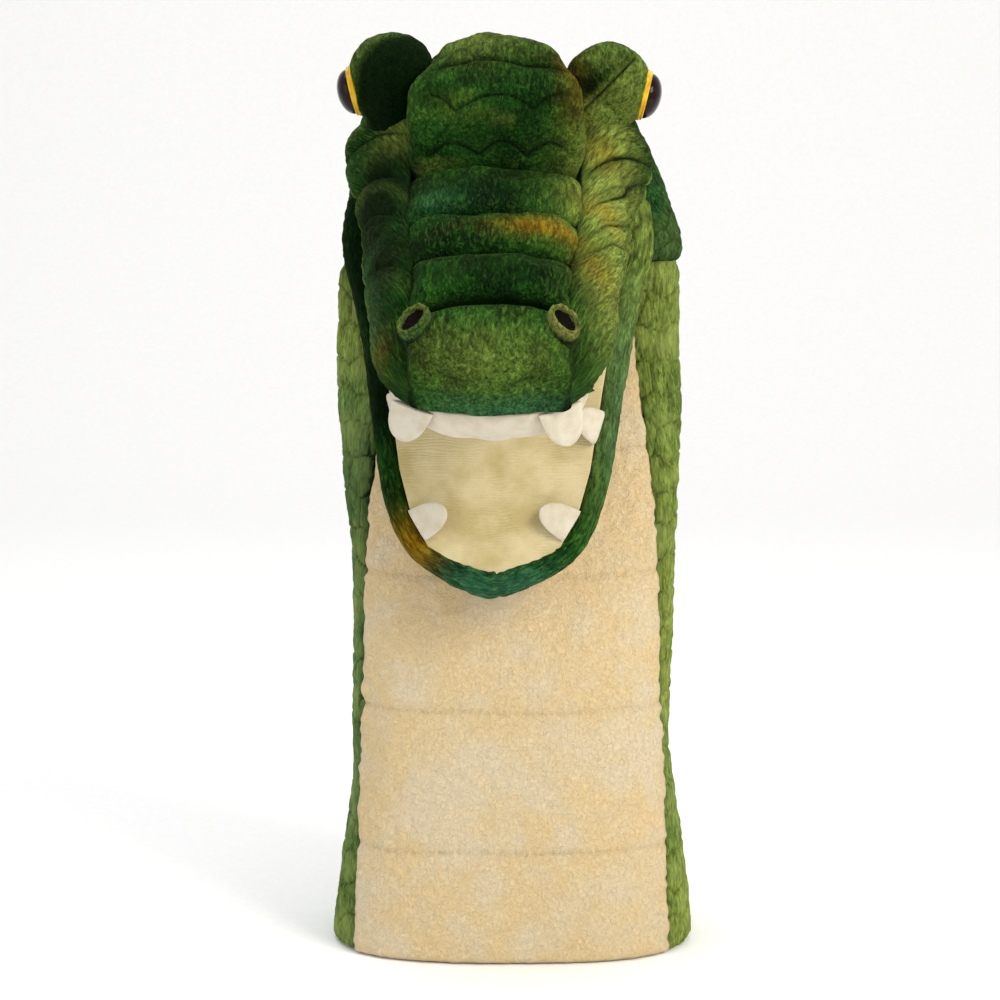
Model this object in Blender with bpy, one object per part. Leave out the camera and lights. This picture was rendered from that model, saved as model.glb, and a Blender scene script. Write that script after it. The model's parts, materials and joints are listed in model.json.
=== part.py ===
"""A crocodile hand puppet with a moving mouth and a long sleeve.

Metres, +Z up, the puppet's front towards -Y. The origin is the centre of the arm opening, on the
plane of the hem. The puppet is worn on a forearm: four fingers move the upper jaw, the thumb moves
the lower jaw, and turning the wrist turns the upper part of the sleeve with the head.

Both jaws hinge on one line through the corners of the mouth. Each jaw's parts are laid out in that
jaw's own frame, with the hinge line at its origin. A point there is written (across, forward, up):
across to +X, forward from the hinge line to the tip of the jaw, and up at right angles to both. The
mouth side is down in the upper jaw's frame and up in the lower jaw's.
"""

import math

import bmesh
import bpy
import numpy as np
from mathutils import Matrix, Vector

GAP = 0.0003                    # between two pieces that touch

# Sleeve: (height, size) stations, straight between them
SLEEVE_HALF_WIDTH = ((0.0, 0.077), (0.040, 0.072), (0.075, 0.067), (0.117, 0.067),
                     (0.160, 0.069), (0.232, 0.074), (0.296, 0.073), (0.320, 0.068))
SLEEVE_FRONT = ((0.0, -0.045), (0.120, -0.043), (0.150, -0.037), (0.210, -0.010), (0.262, 0.008))
SLEEVE_BACK = ((0.0, 0.045), (0.165, 0.047), (0.262, 0.056), (0.320, 0.057))
BELLY_HALF_WIDTH = ((0.0, 0.066), (0.048, 0.064), (0.109, 0.0615), (0.165, 0.060),
                    (0.215, 0.057), (0.262, 0.053), (0.290, 0.067), (0.320, 0.063))
SLEEVE_SQUARENESS = 2.6         # exponent of the superellipse that the sleeve's outline follows
PLUSH = 0.003                   # thickness of the outer cloth
LINING = 0.0012                 # thickness of the lining cloth
LINING_DEPTH = PLUSH + 0.0018   # from the sleeve's outer surface to the lining
HEM_HEIGHT = 0.020
TURN_HEIGHT = 0.149             # where the turning upper sleeve meets the lower sleeve
TURN_GAP = 0.001
THROAT_TOP = 0.262
NECK_TOP_BACK = 0.298
NECK_TOP_RISE = 0.014           # how much higher the neck stands at its front edges
SEAM_ANGLE = 0.016              # radians left open at the belly seam
SPINE_ANGLE = 0.0005            # radians left open at the spine seam
NAPE_ARC = math.radians(58.0)   # the nape's curve, from the top of the neck to the dome
NAPE_CENTRE = (0.018, 0.3015)   # (back, height) of that curve's centre
NAPE_REACH = (0.033, 0.0766)    # the curve's half axes, to the back and up
NAPE_HALF_WIDTH = (0.046, 0.032)  # at the neck, at the dome
NAPE_ROUND = 0.010              # how much the nape's sides come forward of its middle

# Head
MOUTH_CORNER = (-0.006, -0.010, 0.319)
HEAD_YAW = math.radians(-1.5)
UPPER_DROP = math.radians(30.0)  # the upper jaw below level, at rest
LOWER_DROP = math.radians(68.0)  # the lower jaw below level, at rest

# Jaw outlines: half width = (root - taper * forward) * (1 - (forward / length) ** bluntness) ** ease
UPPER_OUTLINE = {"length": 0.144, "root": 0.0575, "taper": 0.105, "bluntness": 10.0, "ease": 0.4}
LOWER_OUTLINE = {"length": 0.170, "root": 0.063, "taper": 0.09, "bluntness": 4.6, "ease": 0.5}
CENTRE_HALF_WIDTH = 0.0345      # of the rolls and the nose pad along the snout
LINING_START = 0.0075           # the mouth linings begin this far forward of the hinge line
PALATE_INSET = 0.004
UPPER_PLATE_INSET = 0.005
JAW_LINING_INSET = 0.0105
LOWER_PLATE_INSET = 0.0114
PLATE_START = 0.009
PLATE_THICKNESS = 0.0015
POCKET_WALL = 0.001
FINGER_POCKET = {"start": 0.003, "end": 0.104, "half_width": 0.036, "low": 0.0021, "high": 0.0187}
THUMB_POCKET = {"start": 0.006, "end": 0.078, "half_width": 0.021, "low": -0.0195, "high": -0.0035}
ROLL_SEAMS = (0.0205, 0.0535, 0.081, 0.109)
ROLL_GAP = 0.0005               # from a seam to the stuffed roll beside it
ROLL_BASE = 0.0192
ROLL_EDGE = 0.0035
ROLL_CROWN = 0.0135
CHEEK_REAR = -0.035
CHEEK_FRONT = 0.128
CHEEK_TOP = ((-0.020, 0.013), (0.0, 0.029), (0.103, 0.029), (0.128, 0.016))  # (forward, height)
CHEEK_SEAM = 0.0007             # from the rolls' sides to the cheeks
LIP = 0.0004
NOSE_BASE = 0.0021
NOSE_EDGE = 0.004
NOSE_CROWN = 0.027
NOSE_FRONT = 0.1425
NOSTRIL_ACROSS = 0.0265
NOSTRIL_FORWARD = 0.1205
NOSTRIL_UP = 0.0257
NOSTRIL_TILT = math.radians(25.0)
NOSTRIL_CUP = ((0.0042, 0.0), (0.0064, 0.0), (0.0062, 0.0080), (0.0052, 0.0090), (0.0044, 0.0080))
NOSTRIL_PATCH = ((0.0038, 0.0025), (0.0040, 0.0045), (0.0020, 0.0048))  # (radius, height)
DOME_CENTRE = -0.0195
DOME_HALF_WIDTH = 0.035
DOME_HALF_LENGTH = 0.0393
DOME_HEIGHT = 0.043
DOME_SKIN = 0.0025
DOME_SHARES = (0.0, 0.25, 0.48, 0.68, 0.84, 0.94, 0.99)  # of the height, at the dome's rings
DOME_POWER = 2.2                # exponent of the dome's side view
MOUND_CENTRE = (0.045, -0.030, 0.040)
MOUND_RADIUS = 0.018
EYE_DROP = math.radians(13.5)   # the eyes look out to the sides and this much down
EYE_SEAT = 0.015                # from a mound's centre to the flat that the eye sits on
EYE_RADIUS = 0.0095
EYE_BULGE = 0.0050
EYE_EDGE = 0.0015
SHANK_RADIUS = 0.0021
SHANK_END = 0.0025              # from a mound's centre
MOUND_SKIN = 0.002
MOUND_OPEN_END = -0.005         # height, along the eye's axis, where a mound is sewn to the head
EYE_RIM_RADIUS = 0.0104
EYE_RIM_THICKNESS = 0.0015
WASHER_RADIUS = 0.0080
WASHER_THICKNESS = 0.0014
FOLD_HALF_LENGTH = 0.050
FOLD_RADIUS = 0.0022
GUM_START = 0.099
GUM_INSET = 0.0035
GUM_THICKNESS = 0.0025
GUM_HEIGHT = 0.009
RIM_RADIUS = 0.0048
RIM_END_RADIUS = 0.0058
RIM_INSET = 0.0052
RIM_UP = -0.0045
RIM_START = 0.012
CHIN_TOP = -0.0108
CHIN_DEPTH = 0.0125
CHIN_EDGE = 0.0015
CHIN_SKIN = 0.0022
CHIN_INSET = 0.0075
CHIN_SPAN = (0.010, 0.160)      # forward
CHIN_END = 0.165                # forward, where the chin's depth would run out
TOOTH_THICKNESS = 0.002
# Teeth of the right side: base (across, forward, up), size (width, length)
UPPER_TOOTH = {"base": (0.0285, 0.1358, -0.0012), "size": (0.013, 0.020)}
LOWER_TOOTH = {"base": (0.0268, 0.1360, 0.0016), "size": (0.013, 0.014)}
SIDE_TOOTH = {"base": (0.0425, 0.0930, 0.0016), "size": (0.012, 0.013)}
LOWER_TOOTH_LEAN = math.radians(40.0)
SIDE_TOOTH_LEAN = math.radians(55.0)


def clear_scene():
    for item in list(bpy.data.objects):
        bpy.data.objects.remove(item)


def material(name, colour, roughness):
    made = bpy.data.materials.new(name)
    made.use_nodes = True
    shader = made.node_tree.nodes["Principled BSDF"]
    shader.inputs["Base Color"].default_value = (*colour, 1.0)
    shader.inputs["Roughness"].default_value = roughness
    shader.inputs["Metallic"].default_value = 0.0
    made.diffuse_color = (*colour, 1.0)
    return made


def empty(name, parent, location, rotation):
    made = bpy.data.objects.new(name, None)
    made.parent = parent
    made.location = location
    made.rotation_euler = rotation
    bpy.context.collection.objects.link(made)
    return made


def solid(name, points, faces, cloth, parent=None, place=None):
    """One closed object from points and faces, its faces turned outwards."""
    mesh = bpy.data.meshes.new(name)
    shape = bmesh.new()
    corners = [shape.verts.new(point) for point in points]
    for face in faces:
        shape.faces.new([corners[index] for index in face])
    bmesh.ops.recalc_face_normals(shape, faces=shape.faces)
    shape.to_mesh(mesh)
    shape.free()
    mesh.shade_smooth()
    mesh.set_sharp_from_angle(angle=math.radians(40.0))
    mesh.materials.append(cloth)
    made = bpy.data.objects.new(name, mesh)
    made.parent = parent
    if place is not None:
        made.matrix_local = place
    bpy.context.collection.objects.link(made)
    return made


def panel(name, outer, inner, cloth, parent=None):
    """A sheet with thickness, from two grids of points of the same shape."""
    rows = len(outer)
    columns = len(outer[0])
    size = rows * columns
    points = [point for row in outer for point in row]
    points += [point for row in inner for point in row]
    faces = []
    for row in range(rows - 1):
        for column in range(columns - 1):
            first = row * columns + column
            ring = (first, first + 1, first + columns + 1, first + columns)
            faces.append(ring)
            faces.append(tuple(index + size for index in reversed(ring)))
    border = list(range(columns))
    border += [row * columns + columns - 1 for row in range(1, rows)]
    border += [(rows - 1) * columns + column for column in range(columns - 2, -1, -1)]
    border += [row * columns for row in range(rows - 2, 0, -1)]
    for here, there in zip(border, border[1:] + border[:1]):
        faces.append((here, here + size, there + size, there))
    return solid(name, points, faces, cloth, parent)


def loft(name, rings, cloth, parent=None, closed=False, place=None):
    """A solid through a row of rings: capped at both ends, or closed back on its first ring."""
    count = len(rings[0])
    points = [point for ring in rings for point in ring]
    faces = []
    spans = len(rings) if closed else len(rings) - 1
    for span in range(spans):
        low = span * count
        high = (span + 1) % len(rings) * count
        for step in range(count):
            after = (step + 1) % count
            faces.append((low + step, low + after, high + after, high + step))
    if not closed:
        faces.append(tuple(range(count)))
        faces.append(tuple(range((len(rings) - 1) * count, len(rings) * count)))
    return solid(name, points, faces, cloth, parent, place)


def turned(name, profile, cloth, parent, place, closed=False, sides=16):
    """A solid of revolution about local Z from (radius, height) points."""
    rings = []
    for radius, height in profile:
        ring = []
        for side in range(sides):
            angle = 2.0 * math.pi * side / sides
            ring.append((radius * math.cos(angle), radius * math.sin(angle), height))
        rings.append(ring)
    return loft(name, rings, cloth, parent, closed, place)


def frame_along(centre, axis):
    """A placement whose local Z runs along an axis."""
    turn = Vector(axis).to_track_quat("Z", "Y").to_matrix().to_4x4()
    return Matrix.Translation(Vector(centre)) @ turn


def laid(across, forward, up):
    """A point of a jaw's frame."""
    return (across, -forward, up)


def station(height, table):
    heights = [row[0] for row in table]
    values = [row[1] for row in table]
    return float(np.interp(height, heights, values))


def eased(value, power):
    return math.copysign(abs(value) ** power, value)


# ---------------------------------------------------------------- sleeve


def sleeve_point(height, angle, depth, side=1.0):
    """A point of the sleeve's outline, a depth inside its outer surface."""
    front = station(height, SLEEVE_FRONT)
    back = station(height, SLEEVE_BACK)
    half_width = station(height, SLEEVE_HALF_WIDTH) - depth
    half_depth = (back - front) / 2.0 - depth
    power = 2.0 / SLEEVE_SQUARENESS
    across = half_width * eased(math.cos(angle), power)
    return (side * across, (back + front) / 2.0 + half_depth * eased(math.sin(angle), power), height)


def seam_angle(height):
    """How far round from the side the belly seam runs at this height."""
    share = station(height, BELLY_HALF_WIDTH) / station(height, SLEEVE_HALF_WIDTH)
    return math.acos(share ** (SLEEVE_SQUARENESS / 2.0))


def belly_grid(low, high, depth, rows=4, columns=10):
    grid = []
    for row in range(rows + 1):
        height = low + (high - low) * row / rows
        edge = seam_angle(height) + SEAM_ANGLE
        angles = np.linspace(edge - math.pi, -edge, columns + 1)
        grid.append([sleeve_point(height, angle, depth) for angle in angles])
    return grid


def side_grid(low, high, rise, depth, side, rows=4, columns=12):
    grid = []
    for row in range(rows + 1):
        line = []
        for column in range(columns + 1):
            round_share = column / columns
            top = high + rise * math.cos(round_share * math.pi / 2.0)
            height = low + (top - low) * row / rows
            start = -seam_angle(height) + SEAM_ANGLE
            end = math.pi / 2.0 - SPINE_ANGLE
            line.append(sleeve_point(height, start + (end - start) * round_share, depth, side))
        grid.append(line)
    return grid


def sleeve_tube(name, low, high, outer_depth, thickness, cloth, rows=4, sides=36):
    heights = [low + (high - low) * row / rows for row in range(rows + 1)]
    rings = []
    for depth, order in ((outer_depth, heights), (outer_depth + thickness, heights[::-1])):
        for height in order:
            angles = [2.0 * math.pi * side / sides for side in range(sides)]
            rings.append([sleeve_point(height, angle, depth) for angle in angles])
    loft(name, rings, cloth, closed=True)


def build_sleeve(cloths):
    low_top = TURN_HEIGHT - TURN_GAP / 2.0
    high_low = TURN_HEIGHT + TURN_GAP / 2.0
    panel("belly_panel", belly_grid(0.0, low_top, 0.0), belly_grid(0.0, low_top, PLUSH),
          cloths["belly"])
    panel("throat_panel", belly_grid(high_low, THROAT_TOP, 0.0),
          belly_grid(high_low, THROAT_TOP, PLUSH), cloths["belly"])
    for word, side in (("right", 1.0), ("left", -1.0)):
        panel(f"side_panel_{word}", side_grid(0.0, low_top, 0.0, 0.0, side),
              side_grid(0.0, low_top, 0.0, PLUSH, side), cloths["plush"])
        panel(f"neck_panel_{word}", side_grid(high_low, NECK_TOP_BACK, NECK_TOP_RISE, 0.0, side),
              side_grid(high_low, NECK_TOP_BACK, NECK_TOP_RISE, PLUSH, side), cloths["plush"])
    sleeve_tube("hem_facing", 0.0, HEM_HEIGHT, LINING_DEPTH, LINING, cloths["hem"], rows=1)
    sleeve_tube("sleeve_lining", HEM_HEIGHT + GAP, low_top, LINING_DEPTH, LINING, cloths["lining"])
    sleeve_tube("neck_lining", high_low, THROAT_TOP, LINING_DEPTH, LINING, cloths["lining"])


def build_nape(cloths, rows=6, columns=8):
    """The plush over the back of the head, between the neck and the dome."""
    grids = []
    for depth in (0.0, PLUSH):
        grid = []
        for row in range(rows + 1):
            angle = NAPE_ARC * row / rows
            wide = NAPE_HALF_WIDTH[0] + (NAPE_HALF_WIDTH[1] - NAPE_HALF_WIDTH[0]) * row / rows
            aside = MOUTH_CORNER[0] * row / rows
            line = []
            for column in range(columns + 1):
                share = 2.0 * column / columns - 1.0
                reach = (NAPE_REACH[0] - depth) * math.cos(angle) - NAPE_ROUND * share ** 2
                height = NAPE_CENTRE[1] + (NAPE_REACH[1] - depth) * math.sin(angle)
                line.append((aside + wide * share, NAPE_CENTRE[0] + reach, height))
            grid.append(line)
        grids.append(grid)
    panel("nape_panel", grids[0], grids[1], cloths["plush"])


# ---------------------------------------------------------------- jaws


def half_width(jaw, forward):
    share = min(max(forward / jaw["length"], 0.0), 1.0)
    blunt = 1.0 - share ** jaw["bluntness"]
    return (jaw["root"] - jaw["taper"] * jaw["length"] * share) * blunt ** jaw["ease"]


def outline(jaw, inset, start, count=24):
    """Points (across, forward) from the right corner round the tip to the left corner."""
    edge = []
    for step in range(count + 1):
        share = 2.0 * step / count - 1.0
        forward = start + (jaw["length"] - start) * math.sin(math.pi / 2.0 * (1.0 - abs(share)))
        edge.append(Vector((-math.copysign(half_width(jaw, forward), share), forward)))
    moved = []
    for step, point in enumerate(edge):
        before = edge[max(step - 1, 0)]
        after = edge[min(step + 1, count)]
        along = (after - before).normalized()
        inward = Vector((-along.y, along.x))
        moved.append(point + inward * inset)
    return moved


def slab(name, points, low, high, cloth, parent):
    rings = [[laid(point.x, point.y, up) for point in points] for up in (low, high)]
    return loft(name, rings, cloth, parent)


def pad(name, start, end, width, base, top, cloth, parent, rows=6, columns=8):
    """A stuffed pad: flat base, crowned top given by top(across share, forward share)."""
    grids = ([], [])
    for row in range(rows + 1):
        forward_share = row / rows
        forward = start + (end - start) * forward_share
        upper = []
        lower = []
        for column in range(columns + 1):
            across_share = 2.0 * column / columns - 1.0
            across = width(forward) * across_share
            upper.append(laid(across, forward, top(across_share, forward_share)))
            lower.append(laid(across, forward, base))
        grids[0].append(upper)
        grids[1].append(lower)
    panel(name, grids[0], grids[1], cloth, parent)


def thumb_pocket(size, cloth, parent, sides=16):
    """A flat cloth tube, open at its wrist end and closed at its tip."""
    half = size["half_width"]
    middle = (size["low"] + size["high"]) / 2.0
    half_height = (size["high"] - size["low"]) / 2.0
    stations = (size["start"], (size["start"] + size["end"]) / 2.0, size["end"] - 0.012,
                size["end"] - 0.003)
    narrowing = (1.0, 1.0, 0.93, 0.70)
    outer = [(forward, share, 0.0) for forward, share in zip(stations, narrowing)]
    inner = [(forward - POCKET_WALL, share, POCKET_WALL) for forward, share, _ in outer]
    inner[0] = (size["start"], 1.0, POCKET_WALL)
    rings = []
    for forward, share, depth in outer[::-1] + inner:
        ring = []
        for side in range(sides):
            angle = 2.0 * math.pi * side / sides
            across = (half * share - depth) * eased(math.cos(angle), 0.7)
            up = middle + (half_height * share - depth) * eased(math.sin(angle), 0.7)
            ring.append(laid(across, forward, up))
        rings.append(ring)
    loft("thumb_pocket", rings, cloth, parent)


def finger_pocket(size, cloth, parent, columns=12):
    """Two cloths sewn together round three sides: a flat floor and an arched roof."""
    half = size["half_width"]
    floor_top = size["low"] + POCKET_WALL
    corners = [Vector((side * half * share, forward))
               for side, order in ((1.0, 1), (-1.0, -1))
               for forward, share in ((size["start"], 1.0), (size["end"] - 0.014, 1.0),
                                      (size["end"], 0.75))[::order]]
    slab("finger_pocket_floor", corners, size["low"], floor_top, cloth, parent)
    base = floor_top + GAP
    stations = (size["start"], size["end"] - 0.030, size["end"] - 0.012, size["end"] - 0.004)
    shares = ((1.0, 1.0), (1.0, 1.0), (0.95, 0.85), (0.80, 0.10))  # (width, height)
    grids = []
    for depth in (0.0, POCKET_WALL):
        grid = []
        for forward, (wide, tall) in zip(stations, shares):
            line = []
            for column in range(columns + 1):
                angle = math.pi * column / columns
                across = (half * wide - depth) * eased(math.cos(angle), 0.5)
                height = ((size["high"] - base) * tall - depth) * eased(abs(math.sin(angle)), 0.5)
                line.append(laid(across, forward, base + height))
            grid.append(line)
        grids.append(grid)
    panel("finger_pocket_roof", grids[0], grids[1], cloth, parent)


def tooth(name, shape, side, across, along, cloth, parent, columns=4):
    """A felt tooth: a flat tongue with a round tip."""
    width, length = shape["size"]
    base = Vector(laid(side * shape["base"][0], shape["base"][1], shape["base"][2]))
    across = Vector(across).normalized()
    along = Vector(along).normalized()
    face = across.cross(along).normalized() * TOOTH_THICKNESS / 2.0
    grids = ([], [])
    for share in (0.0, 0.3, 0.55, 0.75, 0.88, 0.96, 0.995):
        half = width / 2.0 * (1.0 - share ** 3.0) ** 0.5 * (1.0 - 0.25 * share)
        for grid, offset in zip(grids, (face, -face)):
            line = []
            for column in range(columns + 1):
                aside = half * (2.0 * column / columns - 1.0)
                line.append(tuple(base + along * length * share + across * aside + offset))
            grid.append(line)
    panel(name, grids[0], grids[1], cloth, parent)


def dome_rings(half_wide, half_long, height, base, shares, sides=20):
    rings = []
    for share in shares:
        shrink = (1.0 - share ** DOME_POWER) ** (1.0 / DOME_POWER)
        ring = []
        for side in range(sides):
            angle = 2.0 * math.pi * side / sides
            ring.append(laid(half_wide * shrink * math.cos(angle),
                             DOME_CENTRE + half_long * shrink * math.sin(angle),
                             base + height * share))
        rings.append(ring)
    return rings


def ball_profile(radius, start, end, steps):
    """Points of a ball's outline between two heights, the higher first."""
    high = math.acos(start / radius)
    low = math.acos(end / radius)
    angles = [high + (low - high) * step / steps for step in range(steps + 1)]
    return [(radius * math.sin(angle), radius * math.cos(angle)) for angle in angles]


def build_eye(word, side, cloths, parent):
    """One eye mound with its stuffing, and the safety eye fixed through it with a washer."""
    centre = laid(side * MOUND_CENTRE[0], MOUND_CENTRE[1], MOUND_CENTRE[2])
    down = Vector(laid(0.0, math.sin(UPPER_DROP), -math.cos(UPPER_DROP)))
    axis = Vector((side, 0.0, 0.0)) * math.cos(EYE_DROP) + down * math.sin(EYE_DROP)
    place = frame_along(centre, axis)
    hole = SHANK_RADIUS + 2.0 * GAP
    outer = ball_profile(MOUND_RADIUS, EYE_SEAT, MOUND_OPEN_END, 8)
    inner_seat = EYE_SEAT - MOUND_SKIN
    inner = ball_profile(MOUND_RADIUS - MOUND_SKIN, inner_seat, MOUND_OPEN_END, 8)
    turned(f"eye_mound_{word}", [(hole, EYE_SEAT), *outer, *inner[::-1], (hole, inner_seat)],
           cloths["plush"], parent, place, closed=True, sides=20)
    washer_high = inner_seat - 2.0 * GAP
    washer_low = washer_high - WASHER_THICKNESS
    fill_top = washer_low - 2.0 * GAP
    fill = ball_profile(MOUND_RADIUS - MOUND_SKIN - 2.0 * GAP, fill_top, MOUND_OPEN_END, 6)
    bore_end = SHANK_END - 0.0015
    turned(f"eye_stuffing_{word}", [(hole * 0.5, bore_end), (hole, bore_end), (hole, fill_top), *fill],
           cloths["stuffing"], parent, place)
    rim_low = EYE_SEAT + GAP
    rim_high = rim_low + EYE_RIM_THICKNESS
    rim_hole = SHANK_RADIUS + GAP
    turned(f"eye_rim_{word}", [(rim_hole, rim_low), (EYE_RIM_RADIUS - 0.0002, rim_low),
                               (EYE_RIM_RADIUS, rim_low + 0.0008), (EYE_RIM_RADIUS - 0.0005, rim_high),
                               (rim_hole, rim_high)],
           cloths["gold"], parent, place, closed=True, sides=24)
    back = rim_high + GAP
    dome = [(EYE_RADIUS * math.cos(angle), back + EYE_EDGE + EYE_BULGE * math.sin(angle))
            for angle in (math.radians(15.0 * step) for step in range(6))]
    turned(f"eye_{word}", [(SHANK_RADIUS - 0.0009, SHANK_END), (SHANK_RADIUS, SHANK_END + 0.001),
                           (SHANK_RADIUS, back), (EYE_RADIUS - 0.0004, back), *dome],
           cloths["eye"], parent, place, sides=20)
    turned(f"eye_washer_{word}", [(rim_hole, washer_low), (WASHER_RADIUS, washer_low),
                                  (WASHER_RADIUS, washer_high), (rim_hole, washer_high)],
           cloths["washer"], parent, place, closed=True)


def build_cheek(word, side, cloths, parent, rows=9, columns=6):
    top_edge = CENTRE_HALF_WIDTH + CHEEK_SEAM
    grids = []
    for depth in (0.0, PLUSH):
        grid = []
        for row in range(rows + 1):
            forward = CHEEK_REAR + (CHEEK_FRONT - CHEEK_REAR) * row / rows
            lip_edge = half_width(UPPER_OUTLINE, forward) - depth
            top = station(forward, CHEEK_TOP) - depth
            line = []
            for column in range(columns + 1):
                angle = math.pi / 2.0 * column / columns
                across = top_edge + (lip_edge - top_edge) * max(math.cos(angle), 0.0) ** 0.8
                up = LIP + (top - LIP) * math.sin(angle)
                line.append(laid(side * across, forward, up))
            grid.append(line)
        grids.append(grid)
    panel(f"cheek_{word}", grids[0], grids[1], cloths["plush"], parent)


def build_snout_top(cloths, parent):
    def roll_top(across, forward):
        crown = (1.0 - abs(across) ** 3.0) ** 0.5 * (1.0 - abs(2.0 * forward - 1.0) ** 3.0) ** 0.5
        return ROLL_BASE + ROLL_EDGE + ROLL_CROWN * crown

    names = ("snout_roll_rear", "snout_roll_middle", "snout_roll_front")
    for name, start, end in zip(names, ROLL_SEAMS, ROLL_SEAMS[1:]):
        pad(name, start + ROLL_GAP, end - ROLL_GAP, lambda forward: CENTRE_HALF_WIDTH, ROLL_BASE,
            roll_top, cloths["plush"], parent)

    def nose_width(forward):
        return min(CENTRE_HALF_WIDTH, half_width(UPPER_OUTLINE, forward) - 0.0005)

    def nose_top(across, forward):
        lengthwise = (1.0 - forward ** 2.4) ** 0.5 * (0.8 + 0.2 * min(1.0, forward / 0.3))
        return NOSE_BASE + NOSE_EDGE + NOSE_CROWN * (1.0 - abs(across) ** 2.6) ** 0.5 * lengthwise

    pad("nose_pad", ROLL_SEAMS[-1] + ROLL_GAP, NOSE_FRONT, nose_width, NOSE_BASE, nose_top,
        cloths["plush"], parent, rows=8)
    for word, side in (("right", 1.0), ("left", -1.0)):
        axis = (side * math.sin(NOSTRIL_TILT), 0.0, math.cos(NOSTRIL_TILT))
        place = frame_along(laid(side * NOSTRIL_ACROSS, NOSTRIL_FORWARD, NOSTRIL_UP), axis)
        turned(f"nostril_cup_{word}", NOSTRIL_CUP, cloths["nostril_cup"], parent, place, closed=True)
        turned(f"nostril_patch_{word}", NOSTRIL_PATCH, cloths["nostril_patch"], parent, place)


def build_cranium(cloths, parent):
    outer = dome_rings(DOME_HALF_WIDTH, DOME_HALF_LENGTH, DOME_HEIGHT, ROLL_BASE, DOME_SHARES)
    inner = dome_rings(DOME_HALF_WIDTH - DOME_SKIN, DOME_HALF_LENGTH - DOME_SKIN,
                       DOME_HEIGHT - DOME_SKIN, ROLL_BASE, DOME_SHARES)
    loft("cranium_dome", outer[::-1] + inner, cloths["plush"], parent)
    slack = DOME_SKIN + 2.0 * GAP
    fill = dome_rings(DOME_HALF_WIDTH - slack, DOME_HALF_LENGTH - slack, DOME_HEIGHT - slack,
                      ROLL_BASE, DOME_SHARES[:-1])
    loft("cranium_stuffing", fill, cloths["stuffing"], parent)


def build_upper_mouth(cloths, parent):
    slab("palate_lining", outline(UPPER_OUTLINE, PALATE_INSET, LINING_START), -LINING, 0.0,
         cloths["lining"], parent)
    slab("upper_mouth_plate", outline(UPPER_OUTLINE, UPPER_PLATE_INSET, PLATE_START), GAP,
         GAP + PLATE_THICKNESS, cloths["plate"], parent)
    finger_pocket(FINGER_POCKET, cloths["pocket"], parent)
    gum_top = -LINING - GAP
    grids = []
    for inset in (GUM_INSET, GUM_INSET + GUM_THICKNESS):
        edge = outline(UPPER_OUTLINE, inset, GUM_START)
        grids.append([[laid(point.x, point.y, up) for point in edge]
                      for up in (gum_top, gum_top - GUM_HEIGHT)])
    panel("gum_band", grids[0], grids[1], cloths["felt"], parent)
    for word, side in (("right", 1.0), ("left", -1.0)):
        tooth(f"upper_tooth_{word}", UPPER_TOOTH, side, laid(side * 0.80, -0.60, 0.0),
              laid(side * 0.10, 0.0, -1.0), cloths["felt"], parent)


def build_jaw_rim(cloths, parent, steps=28, sides=8):
    """The stuffed plush roll round the edge of the lower jaw, a little thicker at its two ends."""
    rings = []
    path = outline(LOWER_OUTLINE, RIM_INSET, RIM_START, steps)
    for step, point in enumerate(path):
        before = path[max(step - 1, 0)]
        after = path[min(step + 1, steps)]
        along = (after - before).normalized()
        inward = Vector((-along.y, along.x))
        end_share = abs(2.0 * step / steps - 1.0)
        radius = RIM_RADIUS + (RIM_END_RADIUS - RIM_RADIUS) * end_share ** 2.0
        ring = []
        for side in range(sides):
            angle = 2.0 * math.pi * side / sides
            spot = point + inward * radius * math.cos(angle)
            ring.append(laid(spot.x, spot.y, RIM_UP + radius * math.sin(angle)))
        rings.append(ring)
    loft("jaw_rim", rings, cloths["plush"], parent)


def build_chin(cloths, parent, rows=7, columns=12):
    """The fleece under the lower jaw, a trough that runs out towards the jaw's tip."""
    grids = []
    for depth in (0.0, CHIN_SKIN):
        grid = []
        for row in range(rows + 1):
            forward = CHIN_SPAN[0] + (CHIN_SPAN[1] - CHIN_SPAN[0]) * row / rows
            wide = half_width(LOWER_OUTLINE, forward) - CHIN_INSET - depth
            shrink = (1.0 - (forward / CHIN_END) ** 2.0) ** 0.5
            deep = CHIN_DEPTH * shrink + CHIN_EDGE + CHIN_SKIN - depth
            line = []
            for column in range(columns + 1):
                angle = math.pi * column / columns
                line.append(laid(wide * math.cos(angle), forward, CHIN_TOP - deep * math.sin(angle)))
            grid.append(line)
        grids.append(grid)
    panel("chin_panel", grids[0], grids[1], cloths["belly"], parent)


def build_lower_jaw(cloths, parent):
    slab("jaw_lining", outline(LOWER_OUTLINE, JAW_LINING_INSET, LINING_START), -LINING, 0.0,
         cloths["lining"], parent)
    plate_top = -LINING - GAP
    slab("lower_mouth_plate", outline(LOWER_OUTLINE, LOWER_PLATE_INSET, PLATE_START),
         plate_top - PLATE_THICKNESS, plate_top, cloths["plate"], parent)
    thumb_pocket(THUMB_POCKET, cloths["pocket"], parent)
    build_jaw_rim(cloths, parent)
    build_chin(cloths, parent)
    up = Vector((0.0, 0.0, 1.0))
    for word, side in (("right", 1.0), ("left", -1.0)):
        inward = Vector(laid(-side * 0.72, -0.69, 0.0))
        along = inward * math.cos(LOWER_TOOTH_LEAN) + up * math.sin(LOWER_TOOTH_LEAN)
        tooth(f"lower_tooth_{word}", LOWER_TOOTH, side, laid(side * 0.69, -0.72, 0.0), along,
              cloths["felt"], parent)
        inward = Vector(laid(-side * 0.96, -0.28, 0.0))
        along = inward * math.cos(SIDE_TOOTH_LEAN) + up * math.sin(SIDE_TOOTH_LEAN)
        tooth(f"side_tooth_{word}", SIDE_TOOTH, side, laid(side * 0.28, -0.96, 0.0), along,
              cloths["felt"], parent)


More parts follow.
